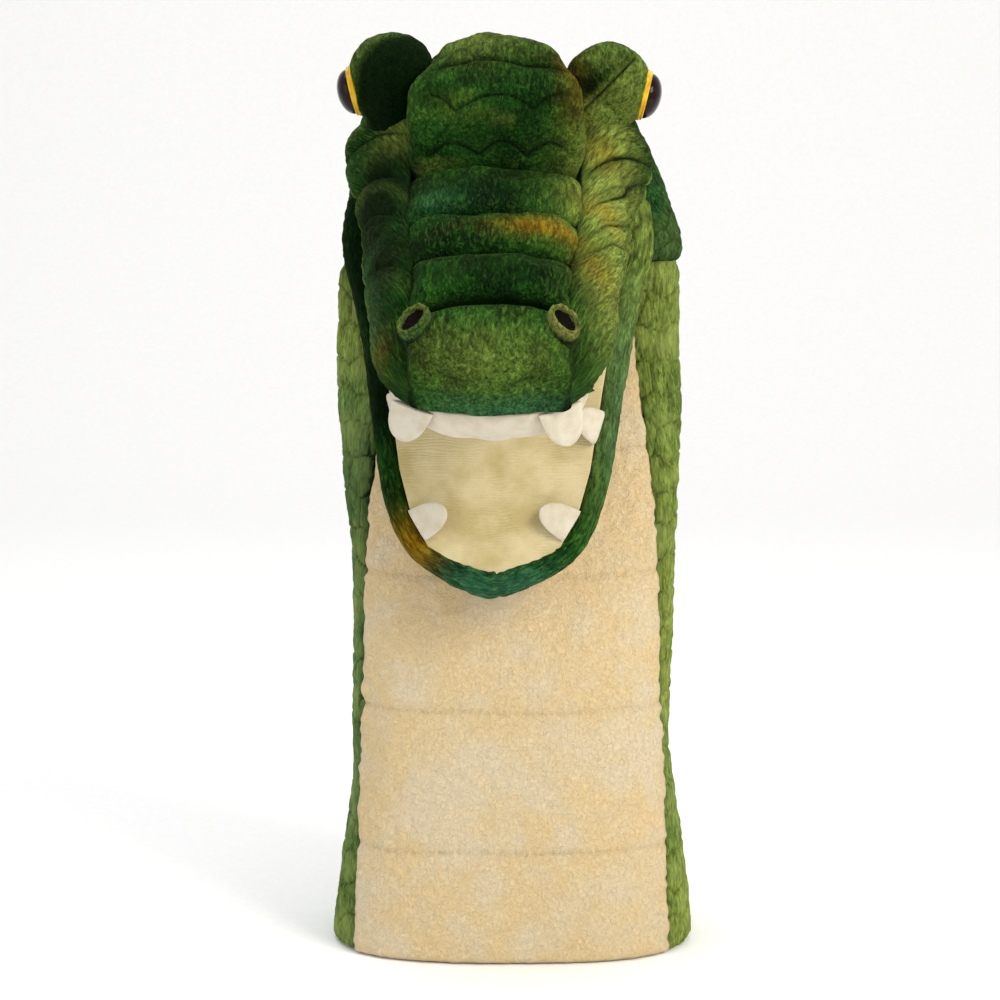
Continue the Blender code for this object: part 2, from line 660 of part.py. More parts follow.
def build_head(cloths):
    head = empty("head_frame", None, MOUTH_CORNER, (0.0, 0.0, HEAD_YAW))
    upper = empty("upper_jaw_frame", head, (0.0, 0.0, 0.0), (UPPER_DROP, 0.0, 0.0))
    lower = empty("lower_jaw_frame", head, (0.0, 0.0, 0.0), (LOWER_DROP, 0.0, 0.0))
    fold_end = FOLD_RADIUS - 0.0002
    turned("mouth_fold", [(fold_end, -FOLD_HALF_LENGTH), (FOLD_RADIUS, 0.0), (fold_end, FOLD_HALF_LENGTH)],
           cloths["lining"], head, frame_along((0.0, 0.0, 0.0), (1.0, 0.0, 0.0)), sides=10)
    build_cranium(cloths, upper)
    build_snout_top(cloths, upper)
    build_upper_mouth(cloths, upper)
    for word, side in (("right", 1.0), ("left", -1.0)):
        build_cheek(word, side, cloths, upper)
        build_eye(word, side, cloths, upper)
    build_lower_jaw(cloths, lower)


def main():
    clear_scene()
    cloths = {
        "plush": material("green_plush", (0.055, 0.125, 0.035), 0.9),
        "belly": material("cream_fleece", (0.70, 0.58, 0.42), 0.95),
        "lining": material("lining_cloth", (0.62, 0.52, 0.32), 0.9),
        "hem": material("hem_cloth", (0.25, 0.30, 0.16), 0.9),
        "pocket": material("pocket_cloth", (0.55, 0.55, 0.50), 0.9),
        "felt": material("white_felt", (0.80, 0.74, 0.64), 0.95),
        "plate": material("mouth_board", (0.30, 0.30, 0.30), 0.7),
        "stuffing": material("stuffing", (0.85, 0.85, 0.82), 1.0),
        "eye": material("eye_plastic", (0.02, 0.010, 0.006), 0.1),
        "gold": material("gold_plastic", (0.60, 0.40, 0.03), 0.25),
        "washer": material("washer_plastic", (0.75, 0.75, 0.72), 0.5),
        "nostril_cup": material("nostril_plush", (0.28, 0.24, 0.10), 0.9),
        "nostril_patch": material("nostril_cloth", (0.02, 0.012, 0.010), 0.9),
    }
    build_sleeve(cloths)
    build_nape(cloths)
    build_head(cloths)


main()
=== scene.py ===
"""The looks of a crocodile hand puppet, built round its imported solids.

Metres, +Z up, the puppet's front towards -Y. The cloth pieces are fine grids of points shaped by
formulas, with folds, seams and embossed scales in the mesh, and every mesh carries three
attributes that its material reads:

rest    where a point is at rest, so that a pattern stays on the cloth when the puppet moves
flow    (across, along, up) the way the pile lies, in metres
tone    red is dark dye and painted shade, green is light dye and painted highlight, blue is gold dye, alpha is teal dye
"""

import json
import math

import bmesh
import bpy
import numpy as np
from mathutils import Matrix, Vector
from mathutils.kdtree import KDTree


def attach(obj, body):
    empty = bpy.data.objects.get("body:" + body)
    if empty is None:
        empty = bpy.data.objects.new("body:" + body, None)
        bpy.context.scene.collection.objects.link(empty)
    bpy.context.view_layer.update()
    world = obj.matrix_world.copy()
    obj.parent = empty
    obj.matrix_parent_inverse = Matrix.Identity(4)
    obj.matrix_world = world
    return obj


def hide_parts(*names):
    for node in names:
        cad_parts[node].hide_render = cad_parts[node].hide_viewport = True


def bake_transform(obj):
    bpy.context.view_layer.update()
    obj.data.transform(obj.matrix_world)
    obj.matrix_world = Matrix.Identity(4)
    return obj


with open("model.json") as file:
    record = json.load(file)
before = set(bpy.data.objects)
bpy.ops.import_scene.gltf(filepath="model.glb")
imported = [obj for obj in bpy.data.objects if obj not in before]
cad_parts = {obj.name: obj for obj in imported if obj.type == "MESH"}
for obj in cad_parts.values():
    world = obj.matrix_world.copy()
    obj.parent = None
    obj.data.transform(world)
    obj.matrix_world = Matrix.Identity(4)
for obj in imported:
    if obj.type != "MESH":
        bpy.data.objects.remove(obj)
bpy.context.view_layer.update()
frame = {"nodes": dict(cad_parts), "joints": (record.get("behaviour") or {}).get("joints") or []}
nodes = frame["nodes"]
joints = {joint["name"]: joint for joint in frame["joints"]}

# Sleeve: (height, size) stations, the same outline as the solids
SLEEVE_HALF_WIDTH = ((0.0, 0.0785), (0.04, 0.0735), (0.075, 0.0675), (0.117, 0.0675),
                     (0.16, 0.069), (0.232, 0.074), (0.296, 0.073), (0.32, 0.068))
SLEEVE_FRONT = ((0.0, -0.045), (0.12, -0.043), (0.15, -0.037), (0.21, -0.01), (0.262, 0.008))
SLEEVE_BACK = ((0.0, 0.045), (0.165, 0.047), (0.262, 0.056), (0.32, 0.057))
BELLY_HALF_WIDTH = ((0.0, 0.066), (0.048, 0.064), (0.109, 0.0615), (0.165, 0.06),
                    (0.205, 0.0575), (0.235, 0.053), (0.262, 0.05), (0.3, 0.05))
SLEEVE_SQUARENESS = 2.6
SLEEVE_TOP = 0.3
BELLY_TOP = 0.29
STITCH_LINES = (0.048, 0.109, 0.165, 0.215)     # across the belly
HEM_HEIGHT = 0.02
SCALE_SIZE = 0.014              # of one embossed scale
PLUSH = 0.003                   # thickness of the plush
LINING = 0.0012                 # thickness of the sleeve's lining
PITCH = 0.0011                  # of the points on a cloth grid
FUZZ = 0.0022                   # size of the smallest bumps of the pile
SIMULATED_FRAMES = 20           # of each cloth simulation
DARK_DYE_AND_SHADE, LIGHT_DYE_AND_HIGHLIGHT, GOLD, TEAL = range(4)      # the dyes, painted shade and painted highlight in a mesh's tone
SIDES = (("right", 1.0), ("left", -1.0))

# Head
UPPER_DROP = math.radians(30.0)
LOWER_DROP = math.radians(68.0)
UPPER_OUTLINE = {"length": 0.144, "root": 0.0575, "taper": 0.105, "bluntness": 10.0, "ease": 0.4}
LOWER_OUTLINE = {"length": 0.17, "root": 0.063, "taper": 0.09, "bluntness": 4.6, "ease": 0.5}
CENTRE_HALF_WIDTH = 0.0345
NOSE_SEAM = 0.115               # where the nose pad is sewn to the front roll
NOSE_BOW = 0.008                # how far that seam bows back in its middle
NOSTRIL_ASIDE = 0.0262          # of the middle of each nostril, on the nose pad
# The rolls across the snout: (word, seam at the rear, seam in front, its bow)
ROLLS = (("rear", 0.0205, 0.0535, 0.0), ("middle", 0.0535, 0.081, 0.0),
         ("front", 0.081, NOSE_SEAM, NOSE_BOW))
DOME_CENTRE = (0.0, -0.0195, 0.0192)
DOME_SIZE = (0.0372, 0.0405, 0.0432)
PRESSURE = 4.0                  # of the stuffing, in the cloth simulations
MOUND_CENTRES = {"right": (0.0453, -0.03, 0.0392), "left": (-0.0443, -0.03, 0.0412)}
MOUND_RADIUS = 0.0185
EYE_DROP = math.radians(13.5)
EYE_SEAT = 0.015
# Outer edge of the lower jaw's rim: (forward, half width)
RIM_EDGE = ((-0.006, 0.063), (0.017, 0.0655), (0.029, 0.0625), (0.051, 0.0575), (0.083, 0.0525),
            (0.117, 0.0475), (0.133, 0.0432), (0.149, 0.0355), (0.157, 0.024), (0.1625, 0.014),
            (0.1675, 0.0))


# ---------------------------------------------------------------- numbers


def hashed(cells):
    """A steady number from 0 to 1 for each row of whole numbers."""
    mixed = np.sin(cells @ np.array((127.1, 311.7, 74.7))) * 43758.5453
    return mixed - np.floor(mixed)


def noise(points, size, seed):
    """Smooth noise from -1 to 1. size is its bumps' size, one number or one for each axis."""
    scaled = np.asarray(points, float) / np.asarray(size, float) + 17.31 * seed
    base = np.floor(scaled)
    part = scaled - base
    part = part * part * (3.0 - 2.0 * part)
    total = np.zeros(scaled.shape[:-1])
    for corner in np.ndindex(2, 2, 2):
        corner = np.array(corner)
        weight = np.prod(np.where(corner, part, 1.0 - part), axis=-1)
        total += weight * hashed(base + corner)
    return total * 2.0 - 1.0


def layered(points, size, octaves, seed):
    """Noise with finer noise on it, from -1 to 1."""
    total = 0.0
    share = 1.0
    for octave in range(octaves):
        total = total + share * noise(points, np.asarray(size) / 2.0 ** octave, seed + octave)
        share *= 0.5
    return total / (2.0 - 2.0 * share)


def eased(value, power):
    """A power of a number that keeps its sign."""
    return np.sign(value) * np.abs(value) ** power


def step(low, high, value):
    """0 before low, 1 after high, and smooth between. low may be the greater one."""
    share = np.clip((value - low) / (high - low), 0.0, 1.0)
    return share * share * (3.0 - 2.0 * share)


def bump(value, centre, width):
    """1 at the centre, and down to nothing on both sides."""
    return np.exp(-((value - centre) / width) ** 2)


def fade(distance, reach):
    """1 at no distance, and less further away."""
    return np.exp(-np.abs(distance) / reach)


def stacked(*parts):
    """Points from their coordinates, each stretched to the shape that all of them need."""
    return np.stack(np.broadcast_arrays(*parts), axis=-1)


def unit(vectors):
    """Vectors of the same directions, of length 1."""
    return vectors / np.linalg.norm(vectors, axis=-1, keepdims=True)


def lengths(line):
    """How far along a line each of its points is."""
    return np.concatenate([[0.0], np.cumsum(np.linalg.norm(np.diff(line, axis=0), axis=-1))])


def respaced(line, count):
    """Evenly spread points along a flat line."""
    length = lengths(line)
    even = np.linspace(0.0, length[-1], count)
    return np.stack([np.interp(even, length, line[:, axis]) for axis in (0, 1)], axis=-1)


def station(position, table, smooth=0.012):
    """A table's value with its corners rounded off."""
    places = [row[0] for row in table]
    values = [row[1] for row in table]
    offsets = np.linspace(-smooth, smooth, 7)
    return sum(np.interp(position + offset, places, values) for offset in offsets) / len(offsets)


def scale_edges(across, along, size, seed):
    """How close a point is to the border between two scales: 0 in a scale, 1 on its edge."""
    row = np.floor(along / size)
    nearest = np.full(np.shape(across), 9.0)
    second = np.full(np.shape(across), 9.0)
    for down in (-1, 0, 1):
        for aside in (-1, 0, 1, 2):
            line = row + down
            shift = 0.5 * np.mod(line, 2.0)
            cell = np.floor(across / size - shift) + aside
            key = stacked(cell, line, seed)
            centre_across = cell + 0.5 + shift + 0.42 * (hashed(key) - 0.5)
            centre_along = line + 0.5 + 0.42 * (hashed(key + 31.0) - 0.5)
            gap = np.hypot(across / size - centre_across, along / size - centre_along)
            second = np.minimum(np.maximum(gap, nearest), second)
            nearest = np.minimum(gap, nearest)
    return np.clip(1.0 - (second - nearest) / 0.16, 0.0, 1.0)


def undyed(points):
    """A tone without dye for each point of a grid."""
    return np.zeros((*points.shape[:2], 4))


def stain(tone, dye, amount):
    """At least this much of one dye."""
    tone[..., dye] = np.maximum(tone[..., dye], amount)


def blobs(points, spots):
    """The strongest of several soft spots, each (centre, radii, strength)."""
    total = np.zeros(points.shape[:-1])
    for centre, radii, strength in spots:
        away = (points - np.array(centre)) / np.array(radii)
        total = np.maximum(total, strength * np.exp(-np.sum(away ** 2, axis=-1)))
    return total


# ---------------------------------------------------------------- frames of the two jaws


def head_frames():
    """The frames at the hinge: level, and turned down to each of the two jaws."""
    hinge = joints["upper_jaw_hinge"]
    across = -Vector(hinge["axis"]).normalized()
    turn = Matrix.Rotation(math.atan2(across.y, across.x), 4, "Z")
    head = Matrix.Translation(Vector(hinge["pos_m"])) @ turn
    head = head @ Matrix.Rotation(math.asin(-across.z), 4, "Y")
    upper = head @ Matrix.Rotation(UPPER_DROP, 4, "X")
    lower = head @ Matrix.Rotation(LOWER_DROP, 4, "X")
    return head, upper, lower


head_frame, upper_frame, lower_frame = head_frames()


def placed(jaw_frame, points):
    """Points written (across, forward, up) in a jaw's frame, as points of the puppet."""
    turn = np.array(jaw_frame)[:3, :3]
    shift = np.array(jaw_frame)[:3, 3]
    local = np.array(points, float) * np.array((1.0, -1.0, 1.0))
    return local @ turn.T + shift


def heading(jaw_frame, direction):
    """A direction in a jaw's frame, as a direction of the puppet."""
    return placed(jaw_frame, [direction])[0] - placed(jaw_frame, [(0.0, 0.0, 0.0)])[0]


def unplaced(jaw_frame, points):
    """Points of the puppet, as (across, forward, up) in a jaw's frame."""
    turn = np.array(jaw_frame)[:3, :3]
    shift = np.array(jaw_frame)[:3, 3]
    return ((np.asarray(points) - shift) @ turn) * np.array((1.0, -1.0, 1.0))


def centre_width(forward):
    """Half width of the rolls and the nose pad along the snout."""
    return np.interp(forward, (0.03, 0.056, 0.082, 0.108), (0.036, 0.0348, 0.0322, 0.0304))


def rim_half_width(forward):
    """Half width of the lower jaw at the outside of its rim."""
    table = np.array(RIM_EDGE)
    return np.interp(forward, table[:, 0], table[:, 1])


def half_width(jaw, forward):
    """Half width of a jaw's outline, its length from the hinge forward."""
    share = np.clip(forward / jaw["length"], 0.0, 1.0)
    blunt = 1.0 - share ** jaw["bluntness"]
    return (jaw["root"] - jaw["taper"] * jaw["length"] * share) * blunt ** jaw["ease"]


def outline(jaw, inset, start, count):
    """Points (across, forward) from the right corner round the tip to the left, evenly spread."""
    share = np.linspace(-1.0, 1.0, 801)
    forward = start + (jaw["length"] - start) * np.sin(np.pi / 2.0 * (1.0 - np.abs(share)))
    edge = stacked(-np.sign(share) * half_width(jaw, forward), forward)
    along = unit(np.gradient(edge, axis=0))
    edge = edge + stacked(-along[:, 1], along[:, 0]) * inset
    return respaced(edge, count)


# ---------------------------------------------------------------- meshes


def points_of(mesh):
    """The coordinates of a mesh's vertices, one row each."""
    values = np.empty(len(mesh.vertices) * 3)
    mesh.vertices.foreach_get("co", values)
    return values.reshape(-1, 3)


def write_attributes(mesh, flow, tone):
    """Give a mesh the rest, flow and tone that its material reads."""
    for name, values in (("rest", points_of(mesh)), ("flow", flow)):
        made = mesh.attributes.new(name, "FLOAT_VECTOR", "POINT")
        made.data.foreach_set("vector", np.asarray(values, np.float32).reshape(-1))
    made = mesh.attributes.new("tone", "FLOAT_COLOR", "POINT")
    made.data.foreach_set("color", np.clip(tone, 0.0, 1.0).astype(np.float32).reshape(-1))


def piece(name, points, faces, cloth, flow=None, tone=None):
    """A mesh object from points and faces, turned so that its faces point out."""
    points = np.asarray(points, float)
    faces = np.asarray(faces, int)
    corners = points[faces]
    diagonals = np.cross(corners[:, 2] - corners[:, 0], corners[:, 3] - corners[:, 1])
    if np.sum(corners.mean(axis=1) * diagonals) < 0.0:
        faces = faces[:, ::-1]
    mesh = bpy.data.meshes.new(name)
    mesh.from_pydata(points.tolist(), [], faces.tolist())
    mesh.update()
    mesh.shade_smooth()
    if flow is None:
        flow = points
    if tone is None:
        tone = np.zeros((len(points), 4))
    write_attributes(mesh, flow, tone)
    mesh.materials.append(cloth)
    made = bpy.data.objects.new(name, mesh)
    bpy.context.scene.collection.objects.link(made)
    return made


def grid_faces(rows, columns, around=False):
    """The quads between a grid's points. around joins its last column to its first."""
    index = np.arange(rows * columns).reshape(rows, columns)
    if around:
        index = np.concatenate([index, index[:, :1]], axis=1)
    quads = np.stack([index[:-1, :-1], index[:-1, 1:], index[1:, 1:], index[1:, :-1]], axis=-1)
    return quads.reshape(-1, 4)


def normals(grid):
    """The direction square to a grid at each of its points."""
    along = np.gradient(grid, axis=0)
    across = np.gradient(grid, axis=1)
    normal = np.cross(across, along)
    return normal / np.maximum(np.linalg.norm(normal, axis=-1, keepdims=True), 1e-12)


def pushed(grid, direction, amount):
    """A grid moved along a direction, or along one for each point, by an amount for each point."""
    return grid + direction * amount[..., None]


def outward(grid, inside):
    """A grid's normals, on the side away from a point."""
    normal = normals(grid)
    away = grid - np.asarray(inside)
    return normal if np.sum(normal * away) > 0.0 else -normal


def shell(name, outer, inner, cloth, flow, tone):
    """A sheet with thickness: two grids of the same shape, joined round their border."""
    rows, columns = outer.shape[:2]
    size = rows * columns
    index = np.arange(size).reshape(rows, columns)
    border = np.concatenate([index[0, :], index[1:, -1], index[-1, -2::-1], index[-2:0:-1, 0]])
    after = np.roll(border, -1)
    top = grid_faces(rows, columns)
    walls = np.stack([border, border + size, after + size, after], axis=-1)
    faces = np.concatenate([top, top[:, ::-1] + size, walls])
    points = np.concatenate([outer.reshape(-1, 3), inner.reshape(-1, 3)])
    flow = np.concatenate([flow.reshape(-1, 3)] * 2)
    tone = np.concatenate([tone.reshape(-1, 4)] * 2)
    return piece(name, points, faces, cloth, flow, tone)


def ball(cuts):
    """Directions spread over a ball and its quad faces, from a cube's sides cut into squares."""
    shape = bmesh.new()
    bmesh.ops.create_cube(shape, size=2.0)
    bmesh.ops.subdivide_edges(shape, edges=shape.edges, cuts=cuts, use_grid_fill=True)
    points = np.array([vertex.co for vertex in shape.verts])
    faces = np.array([[vertex.index for vertex in face.verts] for face in shape.faces])
    shape.free()
    points = np.tan(points * 0.88) / math.tan(0.88)
    return unit(points), faces


def smooth_rows(grid, times, closed):
    """More rows between a grid's rows, on a smooth curve through them."""
    count = len(grid)
    rows = []
    last = count if closed else count - 1
    for index in range(last):
        if closed:
            before, here, there, after = (grid[(index + offset) % count] for offset in (-1, 0, 1, 2))
        else:
            before, here = grid[max(index - 1, 0)], grid[index]
            there, after = grid[index + 1], grid[min(index + 2, count - 1)]
        for share in np.arange(times) / times:
            square = share * share
            cube = square * share
            rows.append(0.5 * (2.0 * here + (there - before) * share
                               + (2.0 * before - 5.0 * here + 4.0 * there - after) * square
                               + (3.0 * here - before - 3.0 * there + after) * cube))
    if not closed:
        rows.append(grid[-1])
    return np.array(rows)


def tube(name, path, radii, cloth, flow_scale, tone=None, sides=24, wobble=None, up=(0, 0, 1)):
    """A round bar along a path, closed at both ends by narrowing to a small ring."""
    count = len(path)
    along = unit(np.gradient(path, axis=0))
    aside = unit(np.cross(along, np.asarray(up, float)))
    upward = np.cross(aside, along)
    angle = np.linspace(0.0, 2.0 * np.pi, sides, endpoint=False)
    radii = np.broadcast_to(np.asarray(radii, float), (count,))[:, None]
    if wobble is not None:
        radii = radii * wobble(np.arange(count)[:, None] / count, angle[None, :])
    radii = np.broadcast_to(radii, (count, sides))[..., None]
    ring = np.cos(angle)[None, :, None] * aside[:, None] + np.sin(angle)[None, :, None] * upward[:, None]
    grid = path[:, None] + radii * ring
    flow = stacked(angle * flow_scale, lengths(path)[:, None], 0.0)
    faces = grid_faces(count, sides, around=True)
    points = grid.reshape(-1, 3)
    flow = flow.reshape(-1, 3)
    colours = np.zeros((count * sides, 4)) if tone is None else tone(grid).reshape(-1, 4)
    for end, ring_start in ((0, 0), (count - 1, (count - 1) * sides)):
        centre = len(points)
        points = np.concatenate([points, path[end][None]])
        flow = np.concatenate([flow, flow[ring_start][None]])
        colours = np.concatenate([colours, colours[ring_start][None]])
        rim = ring_start + np.arange(0, sides, 2)
        middle = rim + 1
        last = ring_start + np.mod(np.arange(0, sides, 2) + 2, sides)
        cap = np.stack([rim, middle, last, np.full(len(rim), centre)], axis=-1)
        faces = np.concatenate([faces, cap if end else cap[:, ::-1]])
    return piece(name, points, faces, cloth, flow, colours)


def turned(name, profile, centre, axis, cloth):
    """A closed solid of revolution from (radius, height) points that start and end on the axis."""
    turn = Vector(axis).to_track_quat("Z", "Y").to_matrix()
    sides = 64
    angle = np.linspace(0.0, 2.0 * np.pi, sides, endpoint=False)
    profile = np.asarray(profile, float)
    local = stacked(profile[:, :1] * np.cos(angle), profile[:, :1] * np.sin(angle), profile[:, 1:])
    grid = local @ np.array(turn).T + np.asarray(centre)
    faces = grid_faces(len(profile), sides, around=True)
    return piece(name, grid.reshape(-1, 3), faces, cloth, flow=local.reshape(-1, 3))


def ring_solid(name, profile, centre, axis, cloth):
    """A closed ring: its profile of (radius, height) points goes all the way round."""
    made = turned(name, [*profile, profile[0]], centre, axis, cloth)
    shape = bmesh.new()
    shape.from_mesh(made.data)
    bmesh.ops.remove_doubles(shape, verts=shape.verts, dist=0.00001)
    shape.to_mesh(made.data)
    shape.free()
    return made


# ---------------------------------------------------------------- materials


def rgb(red, green, blue):
    """A screen colour, 0 to 255, as the linear colour that a shader takes."""
    linear = []
    for value in (red, green, blue):
        share = value / 255.0
        linear.append(share / 12.92 if share <= 0.04045 else ((share + 0.055) / 1.055) ** 2.4)
    return (*linear, 1.0)


class Finish:
    """One node material, its nodes added one line at a time."""

    def __init__(self, name, roughness, sheen=0.0, sheen_tint=(1.0, 1.0, 1.0, 1.0), specular=0.5):
        self.material = bpy.data.materials.new(name)
        self.material.use_nodes = True
        self.tree = self.material.node_tree
        self.shader = self.tree.nodes["Principled BSDF"]
        self.fill(self.shader, {"Roughness": roughness, "Specular IOR Level": specular,
                                "Sheen Weight": sheen, "Sheen Roughness": 0.45, "Sheen Tint": sheen_tint})

    def node(self, kind, inputs=(), **settings):
        """A new node with its settings and inputs."""
        made = self.tree.nodes.new(kind)
        for setting, value in settings.items():
            setattr(made, setting, value)
        self.fill(made, dict(inputs))
        return made

    def fill(self, node, inputs):
        """Give a node's inputs a value each, or a link from another node's output."""
        for key, value in inputs.items():
            if isinstance(value, bpy.types.NodeSocket):
                self.tree.links.new(value, node.inputs[key])
            else:
                node.inputs[key].default_value = value

    def attribute(self, name, output="Vector"):
        return self.node("ShaderNodeAttribute", attribute_name=name).outputs[output]

    def object_space(self):
        return self.node("ShaderNodeTexCoord").outputs["Object"]

    def noise(self, vector, scale, detail, roughness=0.5, distortion=0.0):
        """Noise of one scale, or of a scale for each axis."""
        if isinstance(scale, tuple):
            stretch = self.node("ShaderNodeVectorMath", {0: vector, 1: scale}, operation="MULTIPLY")
            vector = stretch.outputs[0]
            scale = 1.0
        made = self.node("ShaderNodeTexNoise", {"Vector": vector, "Scale": scale, "Detail": detail,
                                               "Roughness": roughness, "Distortion": distortion})
        return made.outputs["Fac"]

    def math(self, operation, first, second=0.0, third=0.0):
        made = self.node("ShaderNodeMath", {0: first, 1: second, 2: third}, operation=operation)
        return made.outputs[0]

    def ramp(self, factor, stops):
        """A colour for each factor, from (position, colour) stops."""
        made = self.node("ShaderNodeValToRGB", {"Fac": factor})
        elements = made.color_ramp.elements
        while len(elements) < len(stops):
            elements.new(0.5)
        for element, (position, colour) in zip(elements, stops):
            element.position = position
            element.color = colour
        return made.outputs["Color"]

    def span(self, value, low, high, to_low, to_high):
        """A value's range from low to high, stretched to another range."""
        made = self.node("ShaderNodeMapRange", {"Value": value, "From Min": low, "From Max": high,
                                                "To Min": to_low, "To Max": to_high})
        return made.outputs["Result"]

    def mix(self, factor, first, second):
        made = self.node("ShaderNodeMix", data_type="RGBA")
        self.fill(made, {0: factor, 6: first, 7: second})
        return made.outputs[2]

    def shade(self, colour, amount):
        """A colour made lighter or darker by a number near 1."""
        made = self.node("ShaderNodeVectorMath", {0: colour, 3: amount}, operation="SCALE")
        return made.outputs[0]

    def raise_surface(self, height, distance, strength, below=None):
        """Small relief in the light, on top of other relief if below is given."""
        inputs = {"Height": height, "Distance": distance, "Strength": strength}
        if below is not None:
            inputs["Normal"] = below
        return self.node("ShaderNodeBump", inputs).outputs["Normal"]

    def done(self, colour, normal):
        """The material, its colour and relief joined to the shader."""
        self.fill(self.shader, {"Base Color": colour, "Normal": normal})
        return self.material


# The darkest green is also what the red mask paints for dark dye and painted shade; the pale green is what
# the green mask paints for pale dye and painted highlight
DARK_DYE_AND_SHADE_GREEN = rgb(2, 18, 3)
DEEP_GREEN = rgb(8, 43, 7)
MID_GREEN = rgb(25, 68, 17)
OLIVE_GREEN = rgb(66, 94, 28)
PALE_DYE_AND_HIGHLIGHT_GREEN = rgb(126, 140, 62)
TEAL_GREEN = rgb(44, 92, 66)
GOLD_BROWN = rgb(142, 104, 12)
PILE_TIP = rgb(114, 146, 68)
WORN_GREEN = rgb(146, 158, 88)


def plush(name, palette, scales=False):
    """Short airbrushed pile: broad colour, blotches, streaks of pile, and the masks of dye, painted shade
    and painted highlight.
    """
    finish = Finish(name, 0.95, sheen=0.05, sheen_tint=rgb(170, 190, 90), specular=0.04)
    rest = finish.attribute("rest")
    flow = finish.attribute("flow")
    broad = finish.noise(rest, 26.0, 2.0)
    blotch = finish.noise(rest, 120.0, 4.0, 0.62)
    streak = finish.noise(flow, (850.0, 210.0, 850.0), 3.0, 0.7, 0.7)
    clump = finish.noise(flow, (330.0, 120.0, 330.0), 4.0, 0.65, 0.9)
    mixed = finish.math("MULTIPLY", broad, 0.5)
    mixed = finish.math("MULTIPLY_ADD", blotch, 0.22, mixed)
    mixed = finish.math("MULTIPLY_ADD", clump, 0.28, mixed)
    colour = finish.ramp(mixed, tuple(zip((0.38, 0.47, 0.55, 0.66), palette)))
    tone = finish.attribute("tone", "Color")
    parts = finish.node("ShaderNodeSeparateColor", {"Color": tone}).outputs
    ragged = finish.span(clump, 0.25, 0.75, 0.5, 1.4)
    alpha = finish.attribute("tone", "Alpha")
    # The green mask brings in pale dye and painted highlight, the blue gold dye, the alpha teal dye
    for mask, dye in ((parts["Green"], PALE_DYE_AND_HIGHLIGHT_GREEN), (parts["Blue"], GOLD_BROWN), (alpha, TEAL_GREEN)):
        amount = finish.math("MULTIPLY", mask, ragged)
        colour = finish.mix(finish.math("MINIMUM", amount, 0.9), colour, dye)
    # The red mask darkens for dark dye and for painted shade
    full = finish.math("MULTIPLY", finish.math("POWER", parts["Red"], 3.0), 0.45)
    dark = finish.math("MULTIPLY_ADD", parts["Red"], ragged, full)
    dark = finish.math("MINIMUM", dark, 0.97)
    colour = finish.mix(dark, colour, DARK_DYE_AND_SHADE_GREEN)
    light = finish.span(streak, 0.32, 0.66, 0.45, 1.5)
    shade = finish.math("MULTIPLY", light, finish.span(clump, 0.25, 0.75, 0.62, 1.38))
    colour = finish.shade(colour, shade)
    clear = finish.math("SUBTRACT", 1.0, dark)
    tips = finish.math("MULTIPLY", finish.span(streak, 0.52, 0.74, 0.0, 0.28), clear)
    colour = finish.mix(tips, colour, PILE_TIP)
    if scales:
        worn = finish.span(finish.noise(rest, 60.0, 2.0), 0.42, 0.7, 0.0, 0.5)
        colour = finish.mix(finish.math("MULTIPLY", worn, clear), colour, WORN_GREEN)
    lumps = finish.raise_surface(clump, 0.0014, 0.8)
    normal = finish.raise_surface(streak, 0.0009, 1.0, lumps)
    return finish.done(colour, normal)


def fleece(name, light, warm, shaded):
    """Cream fleece with small curled tufts."""
    finish = Finish(name, 0.95, sheen=0.12, sheen_tint=rgb(255, 245, 225), specular=0.15)
    rest = finish.attribute("rest")
    broad = finish.noise(rest, 16.0, 2.0)
    blotch = finish.noise(rest, 80.0, 3.0)
    tuft = finish.noise(rest, (620.0, 620.0, 540.0), 3.0, 0.7, 1.2)
    fibre = finish.noise(rest, (2200.0, 2200.0, 1500.0), 2.0)
    mixed = finish.math("MULTIPLY_ADD", broad, 0.7, finish.math("MULTIPLY", blotch, 0.3))
    colour = finish.ramp(mixed, ((0.4, light), (0.52, warm), (0.66, light)))
    tone = finish.attribute("tone", "Color")
    parts = finish.node("ShaderNodeSeparateColor", {"Color": tone}).outputs
    # The red mask is painted shade: it mixes in the shaded colour
    colour = finish.mix(parts["Red"], colour, shaded)
    colour = finish.shade(colour, finish.span(tuft, 0.3, 0.7, 0.9, 1.09))
    lumps = finish.raise_surface(tuft, 0.0012, 0.9)
    normal = finish.raise_surface(fibre, 0.0003, 0.6, lumps)
    return finish.done(colour, normal)


def ribbed(name, light, dark):
    """Mouth lining: thin cloth with fine wavy ribs across it."""
    finish = Finish(name, 0.9, sheen=0.1, sheen_tint=rgb(255, 245, 215), specular=0.15)
    rest = finish.attribute("rest")
    flow = finish.attribute("flow")
    broad = finish.noise(rest, 55.0, 3.0, 0.6)
    bend = finish.noise(flow, (55.0, 120.0, 55.0), 2.0)
    patchy = finish.span(finish.noise(rest, 90.0, 2.0), 0.4, 0.62, 0.15, 1.0)
    parts = finish.node("ShaderNodeSeparateXYZ", {"Vector": flow}).outputs
    along = finish.math("MULTIPLY_ADD", bend, 0.0045, parts["Y"])
    rib = finish.math("SINE", finish.math("MULTIPLY", along, 2.0 * math.pi / 0.00125))
    rib = finish.math("MULTIPLY", rib, patchy)
    weave = finish.noise(flow, (1500.0, 2600.0, 1500.0), 2.0)
    colour = finish.ramp(broad, ((0.36, dark), (0.62, light)))
    colour = finish.shade(colour, finish.span(rib, -1.0, 1.0, 0.965, 1.02))
    colour = finish.shade(colour, finish.span(weave, 0.3, 0.7, 0.95, 1.04))
    normal = finish.raise_surface(rib, 0.00012, 0.6, finish.raise_surface(weave, 0.0002, 0.5))
    return finish.done(colour, normal)


